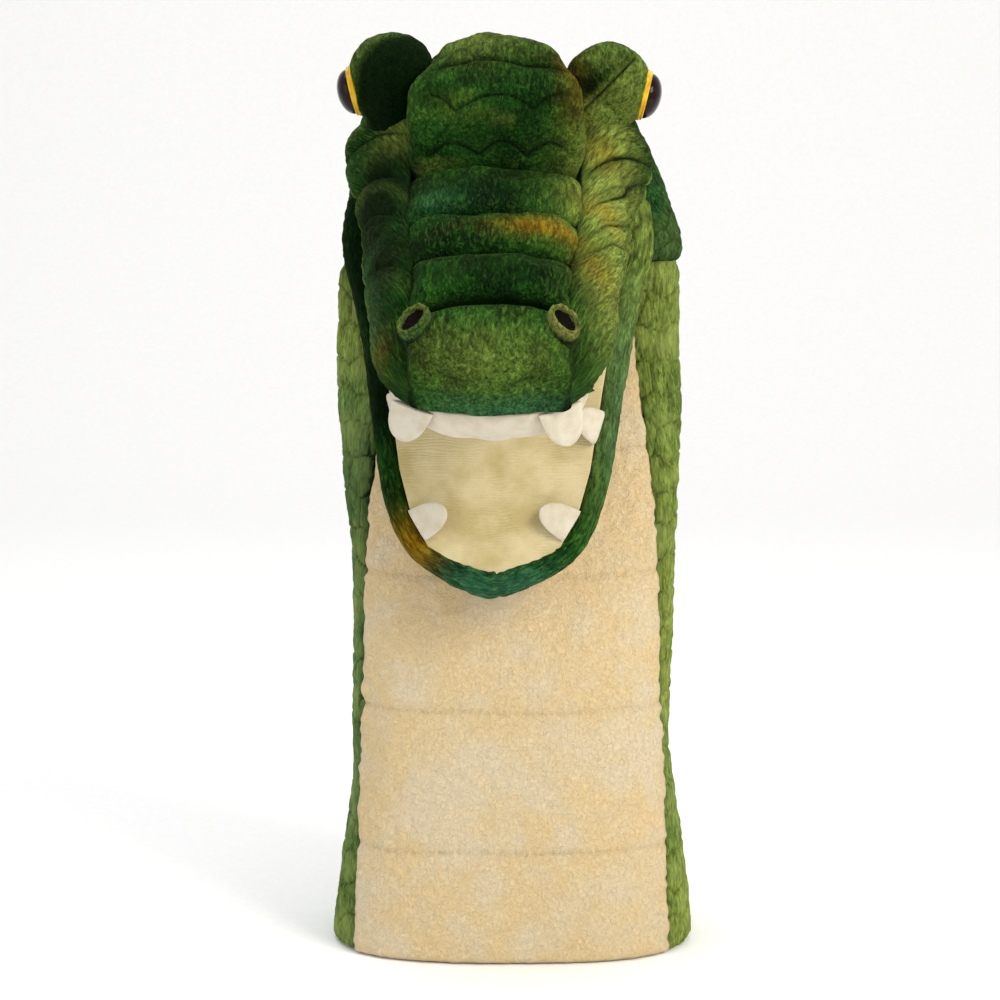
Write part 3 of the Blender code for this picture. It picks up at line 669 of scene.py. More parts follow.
def felt(name, light, shaded, sheen=0.3):
    """Matted fibres without a weave."""
    finish = Finish(name, 0.95, sheen=sheen, sheen_tint=rgb(255, 250, 240), specular=0.12)
    rest = finish.attribute("rest")
    blotch = finish.noise(rest, 160.0, 3.0)
    fibre = finish.noise(rest, (1500.0, 1500.0, 1500.0), 4.0, 0.7, 1.5)
    colour = finish.ramp(blotch, ((0.3, shaded), (0.62, light)))
    colour = finish.shade(colour, finish.span(fibre, 0.3, 0.7, 0.95, 1.04))
    return finish.done(colour, finish.raise_surface(fibre, 0.0004, 0.7))


def gloss(name, dark, light, roughness, coat):
    """Moulded plastic with faint clouding and hairline scratches."""
    finish = Finish(name, roughness, specular=0.22)
    finish.fill(finish.shader, {"Coat Weight": coat, "Coat Roughness": 0.04, "Coat IOR": 1.25, "IOR": 1.25})
    flow = finish.attribute("flow")
    cloud = finish.noise(flow, 260.0, 3.0)
    scratch = finish.noise(flow, (2400.0, 260.0, 2400.0), 2.0)
    colour = finish.ramp(cloud, ((0.35, dark), (0.7, light)))
    rough = finish.span(scratch, 0.4, 0.7, roughness, roughness + 0.12)
    finish.tree.links.new(rough, finish.shader.inputs["Roughness"])
    return finish.done(colour, finish.raise_surface(scratch, 0.00004, 0.4))


def woven(name, light, dark):
    """Plain woven cloth, for the pieces that keep their CAD shape."""
    finish = Finish(name, 0.85, sheen=0.15, specular=0.25)
    place = finish.object_space()
    parts = finish.node("ShaderNodeSeparateXYZ", {"Vector": place}).outputs
    waves = []
    for axis in ("X", "Y", "Z"):
        turn = finish.math("MULTIPLY", parts[axis], 2.0 * math.pi / 0.0009)
        waves.append(finish.math("SINE", turn))
    weave = finish.math("MULTIPLY", finish.math("ADD", waves[0], waves[1]), waves[2])
    broad = finish.noise(place, 40.0, 3.0)
    slub = finish.noise(place, (900.0, 900.0, 120.0), 3.0)
    colour = finish.ramp(finish.math("MULTIPLY_ADD", slub, 0.4, finish.math("MULTIPLY", broad, 0.6)),
                         ((0.35, dark), (0.65, light)))
    colour = finish.shade(colour, finish.span(weave, -2.0, 2.0, 0.9, 1.06))
    return finish.done(colour, finish.raise_surface(weave, 0.0002, 0.6))


def moulded(name, light, dark, roughness):
    """Plain moulded plastic or pressed board, for the pieces that keep their CAD shape."""
    finish = Finish(name, roughness, specular=0.4)
    place = finish.object_space()
    broad = finish.noise(place, 70.0, 3.0)
    grain = finish.noise(place, 1600.0, 3.0)
    colour = finish.ramp(broad, ((0.35, dark), (0.65, light)))
    colour = finish.shade(colour, finish.span(grain, 0.3, 0.7, 0.94, 1.05))
    return finish.done(colour, finish.raise_surface(grain, 0.00015, 0.5))


GREENS = (DARK_DYE_AND_SHADE_GREEN, DEEP_GREEN, MID_GREEN, OLIVE_GREEN)
PALE_GREENS = (rgb(28, 56, 24), rgb(58, 88, 36), rgb(88, 112, 50), rgb(118, 136, 70))
CLOTHS = {
    "plush": plush("head_plush", GREENS),
    "side": plush("sleeve_plush", PALE_GREENS, scales=True),
    "belly": fleece("belly_fleece", rgb(206, 190, 160), rgb(208, 184, 140), rgb(168, 146, 108)),
    "lining": ribbed("mouth_lining", rgb(200, 186, 146), rgb(178, 162, 114)),
    "felt": felt("tooth_felt", rgb(206, 198, 180), rgb(192, 180, 158)),
    "cup": plush("nostril_cloth_outer", (rgb(36, 60, 26), rgb(66, 84, 36), rgb(104, 108, 52),
                                         rgb(132, 124, 66))),
    "patch": felt("nostril_cloth_inner", rgb(12, 7, 5), rgb(6, 4, 3), 0.0),
    "eye": gloss("eye_dome", rgb(10, 5, 4), rgb(34, 16, 8), 0.1, 0.6),
    "gold": gloss("eye_ring", rgb(190, 140, 10), rgb(226, 184, 40), 0.22, 0.6),
    "sleeve_lining": woven("sleeve_lining_cloth", rgb(196, 190, 160), rgb(170, 160, 130)),
    "hem": woven("hem_facing_cloth", rgb(120, 140, 84), rgb(92, 112, 62)),
    "pocket": woven("pocket_cloth", rgb(186, 186, 176), rgb(160, 160, 150)),
    "board": moulded("mouth_board", rgb(120, 120, 118), rgb(96, 96, 94), 0.7),
    "stuffing": moulded("stuffing", rgb(240, 240, 236), rgb(220, 220, 214), 0.95),
    "washer": moulded("washer_plastic", rgb(222, 222, 214), rgb(200, 200, 192), 0.4),
}


# ---------------------------------------------------------------- sleeve


def sleeve_points(height, angle, depth=0.0, side=1.0):
    """Points of the sleeve's outline, a depth inside its outer surface."""
    front = station(height, SLEEVE_FRONT)
    back = station(height, SLEEVE_BACK)
    half_wide = station(height, SLEEVE_HALF_WIDTH) - depth
    half_deep = (back - front) / 2.0 - depth
    power = 2.0 / SLEEVE_SQUARENESS
    across = side * half_wide * eased(np.cos(angle), power)
    deep = (back + front) / 2.0 + half_deep * eased(np.sin(angle), power)
    return stacked(across, deep, height)


def seam_angle(height):
    """Where the belly's seam is, round the sleeve, at a height."""
    share = station(height, BELLY_HALF_WIDTH) / station(height, SLEEVE_HALF_WIDTH)
    return np.arccos(share ** (SLEEVE_SQUARENESS / 2.0))


def sleeve_row(height, start, end, columns, side=1.0):
    """Evenly spread points of the outline at one height, and how far along it each of them is."""
    angle = np.linspace(start, end, 400)
    length = lengths(sleeve_points(height, angle, 0.0, side))
    even = np.linspace(0.0, length[-1], columns)
    return sleeve_points(height, np.interp(even, length, angle), 0.0, side), even


def stuff_cover(made, held, cap):
    """Push a closed cover out by the stuffing in it, by a cloth simulation of a coarse copy.

    held(points) says which points are sewn down. The cover keeps its overall size.
    """
    scene = bpy.context.scene
    points = points_of(made.data)
    cover = bpy.data.objects.new("cover", made.data.copy())
    scene.collection.objects.link(cover)
    remesh = cover.modifiers.new("remesh", "REMESH")
    remesh.mode = "VOXEL"
    remesh.voxel_size = 0.0032
    coarse = bpy.data.meshes.new_from_object(cover.evaluated_get(bpy.context.evaluated_depsgraph_get()))
    cover.modifiers.clear()
    cover.data = coarse
    start = points_of(coarse)
    group = cover.vertex_groups.new(name="sewn")
    group.add([int(index) for index in np.flatnonzero(held(start))], 1.0, "REPLACE")
    cloth = cover.modifiers.new("cloth", "CLOTH")
    values = {"quality": 6, "mass": 0.2, "tension_stiffness": 12.0, "compression_stiffness": 12.0,
              "shear_stiffness": 4.0, "bending_stiffness": 0.15, "use_pressure": True,
              "uniform_pressure_force": PRESSURE, "vertex_group_mass": "sewn"}
    for name, value in values.items():
        setattr(cloth.settings, name, value)
    cloth.settings.effector_weights.gravity = 0.0
    cloth.collision_settings.use_collision = False
    cloth.point_cache.frame_start = 1
    cloth.point_cache.frame_end = SIMULATED_FRAMES
    for moment in range(1, SIMULATED_FRAMES + 1):
        scene.frame_set(moment)
    shown = cover.evaluated_get(bpy.context.evaluated_depsgraph_get())
    moved = points_of(shown.data) - start
    bpy.data.objects.remove(cover)
    scene.frame_set(1)
    length = np.linalg.norm(moved, axis=-1, keepdims=True)
    moved *= np.minimum(1.0, cap / np.maximum(length, 1e-9))
    tree = KDTree(len(start))
    for index, point in enumerate(start):
        tree.insert(point, index)
    tree.balance()
    shift = np.empty_like(points)
    for index, point in enumerate(points):
        near = tree.find_n(point, 4)
        weights = np.array([1.0 / (distance + 0.0004) for _, _, distance in near])
        shift[index] = weights @ moved[[place for _, place, _ in near]] / weights.sum()
    middle = points.mean(axis=0)
    spread = np.linalg.norm(points - middle, axis=-1).mean()
    swollen = points + shift
    growth = np.linalg.norm(swollen - middle, axis=-1).mean() / spread
    free = 1.0 - held(points)[:, None]
    swollen = swollen - (points - middle) * (growth - 1.0) * free
    made.data.vertices.foreach_set("co", swollen.ravel())
    made.data.update()


def border_distance(grid):
    """Each point's distance to the grid's first row, last row, first column and last column."""
    down = np.linalg.norm(np.diff(grid, axis=0), axis=-1)
    over = np.linalg.norm(np.diff(grid, axis=1), axis=-1)
    from_top = np.concatenate([np.zeros((1, grid.shape[1])), np.cumsum(down, axis=0)])
    from_left = np.concatenate([np.zeros((grid.shape[0], 1)), np.cumsum(over, axis=1)], axis=1)
    return from_top, from_top[-1:] - from_top, from_left, from_left[:, -1:] - from_left


def tucked(distance, reach, depth):
    """How far a cloth dips where it turns in at a seam."""
    share = np.clip(distance / reach, 0.0, 1.0)
    return -depth * (1.0 - np.sqrt(1.0 - (1.0 - share) ** 2))


def build_side(word, side):
    """One side of the sleeve in scaled plush, from the belly seam round to the spine seam."""
    heights = np.arange(0.0, SLEEVE_TOP + PITCH, PITCH)
    rows = [sleeve_row(height, -seam_angle(height), np.pi / 2.0, 116, side) for height in heights]
    grid = np.array([points for points, _ in rows])
    around = np.array([length for _, length in rows])
    tall = np.broadcast_to(heights[:, None], around.shape)
    normal = outward(grid, (0.0, 0.005, 0.15))
    flow = stacked(around, tall, side)
    spot = flow * np.array((1.0, 1.0, 0.3))
    edge = scale_edges(around + 0.003 * noise(flow, 0.03, 3), tall + 0.002 * noise(flow, 0.02, 4),
                       SCALE_SIZE, side)
    low, _, front, spine = border_distance(grid)
    inside = step(0.0, 0.014, front)
    crease = noise(spot, (0.0135, 0.075, 0.05), 5)
    lift = 0.0008 + 0.002 * layered(spot, 0.055, 2, 1)
    lift += 0.0018 * crease * inside * (1.0 if side > 0 else 0.6)
    lift += 0.0014 * noise(spot, (0.06, 0.017, 0.05), 8) * step(0.17, 0.25, tall)
    lift -= 0.0012 * edge ** 1.3
    lift = lift * step(SLEEVE_TOP, HOOD_LOW - 0.012, tall) - 0.0012 * step(HOOD_LOW - 0.006, HOOD_LOW, tall)
    lift += 0.0003 * noise(flow, FUZZ, 11) + 0.00035 * noise(flow, 0.0046, 12)
    lift += tucked(front, 0.005, 0.0024) + tucked(spine, 0.005, 0.0022) + tucked(low, 0.0035, 0.0026)
    outer = pushed(grid, normal, lift)
    inner = pushed(grid, normal, np.minimum(lift, 0.0) * 0.6 - 0.0026)
    mean = noise(spot, (0.05, 0.09, 0.05), 21)
    tone = undyed(tall)
    seam = fade(np.minimum(front, spine), 0.003)
    shaded = 0.8 if side < 0 else 0.3
    # Painted shade: darker in the scale grooves, at the seams, towards the top under the head, in the
    # hollows of the folds, and over the left side, away from the light; the random darker patches are dye,
    # stronger on the left as painted shade
    tone[..., DARK_DYE_AND_SHADE] = 0.42 * edge ** 1.5 + 0.6 * seam + shaded * 0.6 * step(0.22, 0.31, tall)
    tone[..., DARK_DYE_AND_SHADE] += shaded * 0.35 * step(0.2, -0.6, mean) + 0.35 * step(-0.25, -0.8, crease)
    rise = np.clip(edge * (1.0 - edge) * 4.0, 0.0, 1.0)
    # Painted light: the right side lighter than the left, and the slopes of the scale grooves and the tops
    # of the folds lighter; the random lighter patches are dye
    tone[..., LIGHT_DYE_AND_HIGHLIGHT] = (0.5 + 0.45 * step(-0.4, 0.5, mean)) * (1.0 if side > 0 else 0.65)
    tone[..., LIGHT_DYE_AND_HIGHLIGHT] += 0.22 * rise + 0.35 * step(0.2, 0.8, crease)
    tone[..., TEAL] = (0.6 if side < 0 else 0.2) * step(-0.2, 0.5, noise(spot, 0.05, 31))
    tone[..., TEAL] *= step(0.3, 0.2, tall) if side < 0 else 1.0
    made = shell(f"side_plush_{word}", outer, inner, CLOTHS["side"], flow, tone)
    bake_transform(made)
    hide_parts(f"side_panel_{word}", f"neck_panel_{word}")


def build_belly():
    """The fleece front of the sleeve, with its stitch lines."""
    heights = np.arange(0.0, BELLY_TOP + PITCH, PITCH)
    columns = 124
    rows = []
    for height in heights:
        edge = seam_angle(height)
        rows.append(sleeve_row(height, edge - np.pi, -edge, columns)[0])
    grid = np.array(rows)
    tall = grid[..., 2]
    share = np.broadcast_to(np.linspace(-1.0, 1.0, columns), tall.shape)
    flow = stacked(share * 0.066, tall, 0.0)
    normal = outward(grid, (0.0, 0.005, 0.15))
    low, _, left, right = border_distance(grid)
    edge = np.minimum(left, right)
    lift = 0.0012 * layered(flow, (0.05, 0.09, 0.05), 2, 41) * step(0.0, 0.02, edge)
    lift += 0.0005 * noise(flow, (0.012, 0.03, 0.05), 43)
    tone = undyed(tall)
    dashes = 0.6 + 0.4 * np.sign(np.sin(share * 110.0))
    for line in STITCH_LINES:
        wave = tall - line - 0.001 * noise(flow, 0.03, 47)
        lift -= 0.0007 * fade(wave, 0.001) * dashes
        # Painted shade along each stitch groove
        tone[..., DARK_DYE_AND_SHADE] += 0.35 * fade(wave, 0.0008)
    lift += 0.0004 * noise(flow, 0.0023, 51) + 0.00035 * noise(flow, 0.0042, 53)
    lift += tucked(edge, 0.0022, 0.0008) + tucked(low, 0.003, 0.0022)
    ragged = 0.0007 * noise(flow, (0.05, 0.0024, 0.05), 57) + 0.0006 * noise(flow, (0.05, 0.006, 0.05), 58)
    pinch = sum(bump(tall, line, 0.0022) for line in STITCH_LINES) * 0.001 * fade(edge, 0.003)
    aside = np.sign(share) * (ragged * fade(edge, 0.004) - pinch + 0.0016 * fade(edge, 0.003))
    outer = pushed(grid, normal, lift + 0.0016)
    outer[..., 0] += aside
    inner = grid - normal * 0.0024
    # Painted shade: darker towards the top under the lower jaw, and along the edges where the fleece turns
    # in at its seams
    tone[..., DARK_DYE_AND_SHADE] += 0.5 * step(0.22, 0.28, tall) + 0.15 * fade(edge, 0.002)
    made = shell("belly_fleece", outer, inner, CLOTHS["belly"], flow, tone)
    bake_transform(made)
    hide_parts("belly_panel", "throat_panel")


def build_sleeve_lining():
    """The thin lining inside the sleeve, from the hem facing to the wrist."""
    heights = np.arange(HEM_HEIGHT + 0.0005, 0.262, 0.004)
    columns = 96
    angle = np.linspace(0.0, 2.0 * np.pi, columns, endpoint=False)
    layers = []
    for depth, order in ((0.0058, heights), (0.0058 + LINING, heights[::-1])):
        for height in order:
            layers.append(sleeve_points(height, angle, depth))
    grid = np.array(layers + layers[:1])
    count = len(layers)
    faces = grid_faces(count + 1, columns, around=True) % (count * columns)
    points = grid[:-1].reshape(-1, 3)
    made = piece("sleeve_lining_cloth", points, faces, CLOTHS["sleeve_lining"])
    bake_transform(made)
    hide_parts("sleeve_lining", "neck_lining")


# ---------------------------------------------------------------- back of the head

HOOD_LOW = 0.2925
HOOD_FRONT = math.radians(47.0)     # where the hood's front edge is, round the sleeve
THROAT_LOW = 0.276                  # where the throat's fleece leaves the sleeve
THROAT_REACH = 0.016                # how far along the lower jaw it ends
# Where the hood is sewn to the head: share from the spine to the corner of the mouth, and the
# point of the upper jaw's frame there
HOOD_SEAM = ((0.0, (0.0, -0.056, 0.035)), (0.25, (0.022, -0.053, 0.032)),
             (0.45, (0.04, -0.047, 0.029)), (0.62, (0.053, -0.041, 0.024)),
             (0.8, (0.0585, -0.031, 0.01)), (1.0, (0.059, -0.01, -0.003)))


def build_hood():
    """The plush from the top of the sleeve up over the back of the head."""
    columns = 190
    share = np.linspace(-1.0, 1.0, columns)
    left, right = (sleeve_row(HOOD_LOW, np.pi / 2.0, -HOOD_FRONT, columns // 2, side)[0]
                   for side in (-1.0, 1.0))
    low = np.concatenate([left[::-1], right])
    tables = ([(place, point[axis]) for place, point in HOOD_SEAM] for axis in range(3))
    local = stacked(*(station(np.abs(share), table, 0.06) for table in tables))
    local[:, 0] *= np.sign(share)
    high = placed(upper_frame, local)
    ahead = heading(upper_frame, (0.0, 1.0, 0.0))
    reach = np.linalg.norm(high - low, axis=-1)[:, None]
    front = step(0.55, 1.0, np.abs(share))[:, None]
    leave = (np.array((0.0, 0.0, 1.0)) - front * np.array((0.0, 0.35, 0.0))) * reach * 1.15
    arrive = (ahead * 0.9 * (1.0 - front) + np.array((0.0, -0.1, 0.9)) * front) * reach * 0.9
    t = np.linspace(0.0, 1.0, 90)[:, None, None]
    grid = ((2 * t ** 3 - 3 * t ** 2 + 1) * low + (t ** 3 - 2 * t ** 2 + t) * leave
            + (3 * t ** 2 - 2 * t ** 3) * high + (t ** 3 - t ** 2) * arrive)
    normal = outward(grid, (0.0, 0.0, 0.3))
    tall = np.broadcast_to(t[..., 0], grid.shape[:2])
    turn = np.broadcast_to(share, tall.shape)
    flow = stacked(turn * 0.12, tall * 0.09, 0.0)
    inside = step(0.0, 0.15, tall)
    folds = layered(flow, (0.018, 0.06, 0.05), 2, 61)
    lift = 0.0026 * folds * inside + 0.0014 * layered(flow, (0.05, 0.018, 0.05), 2, 63) * inside
    lift += 0.00035 * noise(flow, 0.0024, 65) + 0.0008
    edge = scale_edges(flow[..., 0], flow[..., 1], SCALE_SIZE, 3.0)
    lift -= 0.0006 * edge ** 1.5
    low_edge, _, left, right = border_distance(grid)
    lift += tucked(low_edge, 0.005, 0.002) + tucked(np.minimum(left, right), 0.004, 0.002)
    outer = pushed(grid, normal, lift)
    inner = pushed(grid, normal, lift - PLUSH)
    tone = undyed(tall)
    # Painted shade: a darker band low on the hood, its lower edge, the scale grooves, the hollows of the
    # folds and the left side; painted highlight on the tops of the folds on the right
    tone[..., DARK_DYE_AND_SHADE] = 0.38 * bump(tall, 0.3, 0.35) + 0.4 * fade(low_edge, 0.004) + 0.25 * edge
    tone[..., DARK_DYE_AND_SHADE] += 0.6 * step(-0.1, -0.7, folds) + 0.35 * step(0.2, -0.6, turn)
    tone[..., LIGHT_DYE_AND_HIGHLIGHT] = 0.35 * step(0.1, 0.6, folds) * step(-0.3, 0.3, turn)
    tone[..., TEAL] = 0.35 * step(1.1, 0.1, tall)
    made = shell("hood_plush", outer, inner, CLOTHS["plush"], flow, tone)
    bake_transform(made)
    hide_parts("nape_panel")


def build_throat():
    """The fleece that closes the gap between the sleeve's throat and the lower jaw's underside."""
    columns = 90
    edge = seam_angle(THROAT_LOW)
    low = sleeve_row(THROAT_LOW, edge - np.pi, -edge, columns)[0][::-1]
    angle = np.linspace(0.0, np.pi, columns)
    wide = half_width(LOWER_OUTLINE, THROAT_REACH) - 0.0085
    ring = stacked(wide * np.cos(angle), 0.018, -0.0102 - 0.0155 * np.sin(angle))
    high = placed(lower_frame, ring)
    t = np.linspace(0.0, 1.0, 30)[:, None, None]
    grid = low * (1.0 - t) + high * t + np.sin(np.pi * t) * np.array((0.0, 0.004, -0.002))
    normal = outward(grid, (0.0, 0.03, 0.32))
    lift = 0.0015 * layered(grid, (0.02, 0.02, 0.012), 2, 71) * np.sin(np.pi * t[..., 0])
    outer = pushed(grid, normal, lift + 0.0012)
    inner = pushed(grid, normal, lift - 0.0008)
    tone = undyed(grid)
    # Painted shade over the whole throat fleece, under the lower jaw
    tone[..., DARK_DYE_AND_SHADE] = 0.5
    made = shell("throat_fleece", outer, inner, CLOTHS["belly"], grid, tone)
    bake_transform(made)


def build_gusset(word, side):
    """The plush at one corner of the mouth: sleeve's top to lower jaw, behind the hood's edge."""
    edge = seam_angle(THROAT_LOW)
    angle = np.linspace(-edge + 0.03, -edge + 0.6, 44)
    low = sleeve_points(THROAT_LOW + 0.002, angle, 0.0075, side)
    share = np.linspace(0.0, 1.0, 44)
    wide = half_width(LOWER_OUTLINE, THROAT_REACH) - 0.008
    ring = stacked(side * wide, 0.02 - 0.027 * share, -0.012 + 0.004 * share)
    high = placed(lower_frame, ring)
    t = np.linspace(0.0, 1.0, 40)[:, None, None]
    grid = low * (1.0 - t) + high * t + np.sin(np.pi * t) * np.array((side * 0.0012, 0.0, 0.0))
    normal = outward(grid, (0.0, 0.0, 0.29))
    flow = stacked(share * 0.02, grid[..., 2], grid[..., 0])
    lift = 0.0012 * layered(flow, (0.006, 0.02, 0.02), 2, 75) * np.sin(np.pi * t[..., 0])
    tone = undyed(grid)
    # Painted shade over the whole corner plush, in the recess behind the hood's edge
    tone[..., DARK_DYE_AND_SHADE] = 0.55
    outer = pushed(grid, normal, lift + 0.0008)
    inner = pushed(grid, normal, lift - 0.001)
    made = shell(f"corner_plush_{word}", outer, inner, CLOTHS["plush"], flow, tone)
    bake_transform(made)


# ---------------------------------------------------------------- upper jaw


def jaw_piece(made, body, node):
    """Put a piece on the body that it rides, and hide the node that it stands for."""
    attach(made, body)
    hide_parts(node)


def jaw_shell(name, jaw_frame, front, back, cloth, flow, tone):
    """A sheet with thickness from two grids in a jaw's frame."""
    return shell(name, placed(jaw_frame, front), placed(jaw_frame, back), CLOTHS[cloth], flow, tone)


GOLD_SPOTS = (((0.02, 0.067, 0.03), (0.017, 0.006, 0.012), 0.75),
              ((0.03, -0.012, 0.046), (0.006, 0.022, 0.014), 0.5),
              ((0.047, 0.04, 0.026), (0.014, 0.008, 0.014), 0.45),
              ((0.042, 0.078, 0.024), (0.009, 0.01, 0.014), 0.35),
              ((0.044, 0.006, 0.03), (0.008, 0.008, 0.012), 0.35),
              ((-0.046, 0.118, 0.014), (0.007, 0.008, 0.012), 0.25))
# Pale dye, and painted light over the right side of the head, which faces the key light
LIGHT_DYE_AND_HIGHLIGHT_SPOTS = (((0.05, 0.034, 0.024), (0.02, 0.038, 0.024), 1.15),
               ((0.052, 0.08, 0.018), (0.016, 0.038, 0.022), 0.85),
               ((0.056, 0.11, 0.01), (0.012, 0.03, 0.016), 0.4),
               ((-0.041, -0.004, 0.03), (0.01, 0.011, 0.012), 0.75),
               ((0.05, -0.004, 0.028), (0.014, 0.016, 0.016), 0.7),
               ((-0.01, -0.034, 0.062), (0.026, 0.02, 0.014), 0.35),
               ((-0.052, 0.11, 0.008), (0.008, 0.022, 0.012), 0.35),
               ((0.0, 0.136, 0.022), (0.03, 0.014, 0.014), 0.34))
# Dark dye along the top, and painted shade over the left side of the head, away from the key light
DARK_DYE_AND_SHADE_SPOTS = (((-0.048, 0.03, 0.022), (0.018, 0.04, 0.024), 0.98),
              ((-0.042, 0.072, 0.018), (0.013, 0.03, 0.02), 0.9),
              ((-0.01, 0.072, 0.034), (0.018, 0.01, 0.012), 0.25),
              ((0.0, 0.008, 0.045), (0.036, 0.026, 0.024), 0.62),
              ((0.0, 0.038, 0.036), (0.034, 0.018, 0.014), 0.55),
              ((0.0, 0.096, 0.036), (0.034, 0.016, 0.014), 0.62),
              ((-0.036, 0.143, 0.008), (0.01, 0.012, 0.012), 0.75),
              ((-0.03, -0.02, 0.04), (0.01, 0.03, 0.02), 0.45))
TEAL_SPOTS = (((-0.022, 0.045, 0.034), (0.014, 0.012, 0.014), 0.25),
              ((0.004, 0.146, 0.004), (0.034, 0.016, 0.006), 0.55),
              ((0.058, 0.125, 0.006), (0.01, 0.03, 0.012), 0.25),
              ((-0.052, 0.09, 0.01), (0.01, 0.035, 0.012), 0.35))


def upper_tone(local):
    """The airbrushed dyes of the head, with painted shade on its left side and painted light on its right,
    by place in the upper jaw's frame.
    """
    spots = (DARK_DYE_AND_SHADE_SPOTS, LIGHT_DYE_AND_HIGHLIGHT_SPOTS, GOLD_SPOTS, TEAL_SPOTS)
    return np.stack([blobs(local, group) for group in spots], axis=-1)


def seam_curve(across, forward, bow):
    """A seam across the snout that bows back in its middle."""
    return forward - bow * (1.0 - (across / CENTRE_HALF_WIDTH) ** 2)


def build_roll(word, start, end, bow):
    """One stuffed roll across the snout, fat in its middle and pinched at its two seams."""
    angle = np.linspace(0.0, np.pi, 124)
    share = np.linspace(0.0, 1.0, 48)[:, None]
    seed = start * 900.0
    middle = start + (end - start) * share
    swell = np.sin(np.pi * share) ** 0.5
    wide = centre_width(middle) - 0.0012 + 0.0016 * swell
    across = wide * eased(np.cos(angle), 0.66)[None, :]
    sag = 0.0012 * noise(stacked(across, 0.0, 0.0), 0.016, seed + 1)
    first = start + 0.0002 + sag
    last = seam_curve(across, end, bow) - 0.0002 + sag * (0.3 if bow else 1.0)
    forward = first + (last - first) * (0.5 - 0.5 * np.cos(np.pi * share)) ** 0.9
    fullness = 1.0 - np.abs(2.0 * share - 1.0) ** 2.2
    crown = 0.0062 + 0.0118 * fullness ** 0.5
    up = 0.0185 + crown * eased(np.sin(angle), 0.62)[None, :]
    local = stacked(across, forward, up)
    top = step(0.0, 0.35, np.sin(angle))[None, :]
    lift = 0.0014 * layered(local, (0.018, 0.012, 0.02), 2, seed) * top
    lift += 0.0009 * noise(local, (0.0055, 0.01, 0.02), seed + 3) * top
    lift += 0.0003 * noise(local, 0.0021, seed + 5)
    normal = outward(local, (0.0, (start + end) / 2.0, 0.015))
    local = local + normal * (lift * np.sin(np.pi * np.clip(share, 0.03, 0.97)) ** 0.5)[..., None]
    base = local.copy()
    base[..., 2] = np.minimum(0.018, base[..., 2] - 0.002)
    tone = upper_tone(local)
    crease = np.minimum(share, 1.0 - share) * (end - start)
    # Painted shade at the two pinched seams and in the dents
    stain(tone, DARK_DYE_AND_SHADE, 0.95 * fade(crease, 0.0024))
    tone[..., DARK_DYE_AND_SHADE] += 0.25 * step(0.0, -0.8, lift / 0.0014)
    made = jaw_shell(f"snout_roll_plush_{word}", upper_frame, local, base, "plush", local, tone)

    def sewn(points):
        spot = unplaced(upper_frame, points)
        seam = np.minimum(spot[..., 1] - start, seam_curve(spot[..., 0], end, bow) - spot[..., 1])
        return (seam < 0.0022) | (spot[..., 2] < 0.0215)

    stuff_cover(made, sewn, 0.003)
    jaw_piece(made, "upper_jaw", f"snout_roll_{word}")


def nose_outline(share):
    """Half width of the nose pad between its seam at the rear and its lip."""
    return 0.03 + 0.0012 * np.sin(np.pi * np.clip(share * 1.25, 0.0, 1.0)) - 0.0022 * share ** 8


def nose_seam(across):
    """How far forward the seam at the rear of the nose pad is."""
    return NOSE_SEAM + 0.0004 - NOSE_BOW * (1.0 - (across / 0.03) ** 2)


def build_nose():
    """The big stuffed pad at the end of the snout, down to the lip."""
    angle = np.linspace(0.0, np.pi, 130)
    share = np.linspace(0.0, 1.0, 100)[:, None]
    turn = share * np.pi / 2.0
    across = nose_outline(share) * eased(np.cos(angle), 0.56)[None, :]
    rear = nose_seam(across)
    front = 0.1432 - 0.005 * (np.abs(across) / 0.031) ** 2.4
    forward = rear + (front - rear) * np.sin(turn) ** 0.86
    rise = 0.01 + 0.0215 * np.cos(turn) ** 0.62
    rise = rise - 0.007 * fade(share, 0.05)
    over = eased(np.sin(angle), 0.5)[None, :]
    up = 0.001 + rise * (0.25 + 0.75 * over)
    up = np.maximum(up * (1.0 - share ** 6 * 0.9), 0.0008)
    local = stacked(across, forward, up)
    normal = outward(local, (0.0, 0.12, 0.0))
    lift = 0.0016 * layered(local, (0.016, 0.016, 0.014), 2, 81)
    lift += 0.00032 * noise(local, FUZZ, 83) + 0.0005 * noise(local, 0.0048, 84)
    pinch = np.zeros_like(lift)
    for centre, tilt, low in ((-0.0125, -0.22, 0.0165), (0.0135, 0.24, 0.016)):
        line = local[..., 2] - low - tilt * (local[..., 0] - centre)
        pinch = np.maximum(pinch, fade(line, 0.0011) * bump(local[..., 0], centre, 0.006))
    lift -= 0.0012 * pinch
    for side in (-1.0, 1.0):
        spot = np.hypot(local[..., 0] - side * NOSTRIL_ASIDE, local[..., 1] - 0.1215)
        lift += 0.0016 * np.exp(-(spot / 0.009) ** 2)
    local = local + normal * (lift * step(0.0, 0.12, share))[..., None]
    base = local.copy()
    base[..., 2] = 0.0006
    base[..., 1] = np.minimum(base[..., 1], 0.1405)
    tone = upper_tone(local)
    # Painted shade at the rear seam, on the sides of the pad and in the pinched lines
    stain(tone, DARK_DYE_AND_SHADE, 0.95 * fade(share * 0.045, 0.0022))
    side_edge = np.abs(np.cos(angle))[None, :] ** 10
    stain(tone, DARK_DYE_AND_SHADE, 0.75 * side_edge)
    stain(tone, DARK_DYE_AND_SHADE, 0.7 * pinch)
    made = jaw_shell("nose_plush", upper_frame, local, base, "plush", local, tone)

    def sewn(points):
        spot = unplaced(upper_frame, points)
        return (spot[..., 1] < nose_seam(spot[..., 0]) + 0.0024) | (spot[..., 2] < 0.0045)

    stuff_cover(made, sewn, 0.003)
    jaw_piece(made, "upper_jaw", "nose_pad")


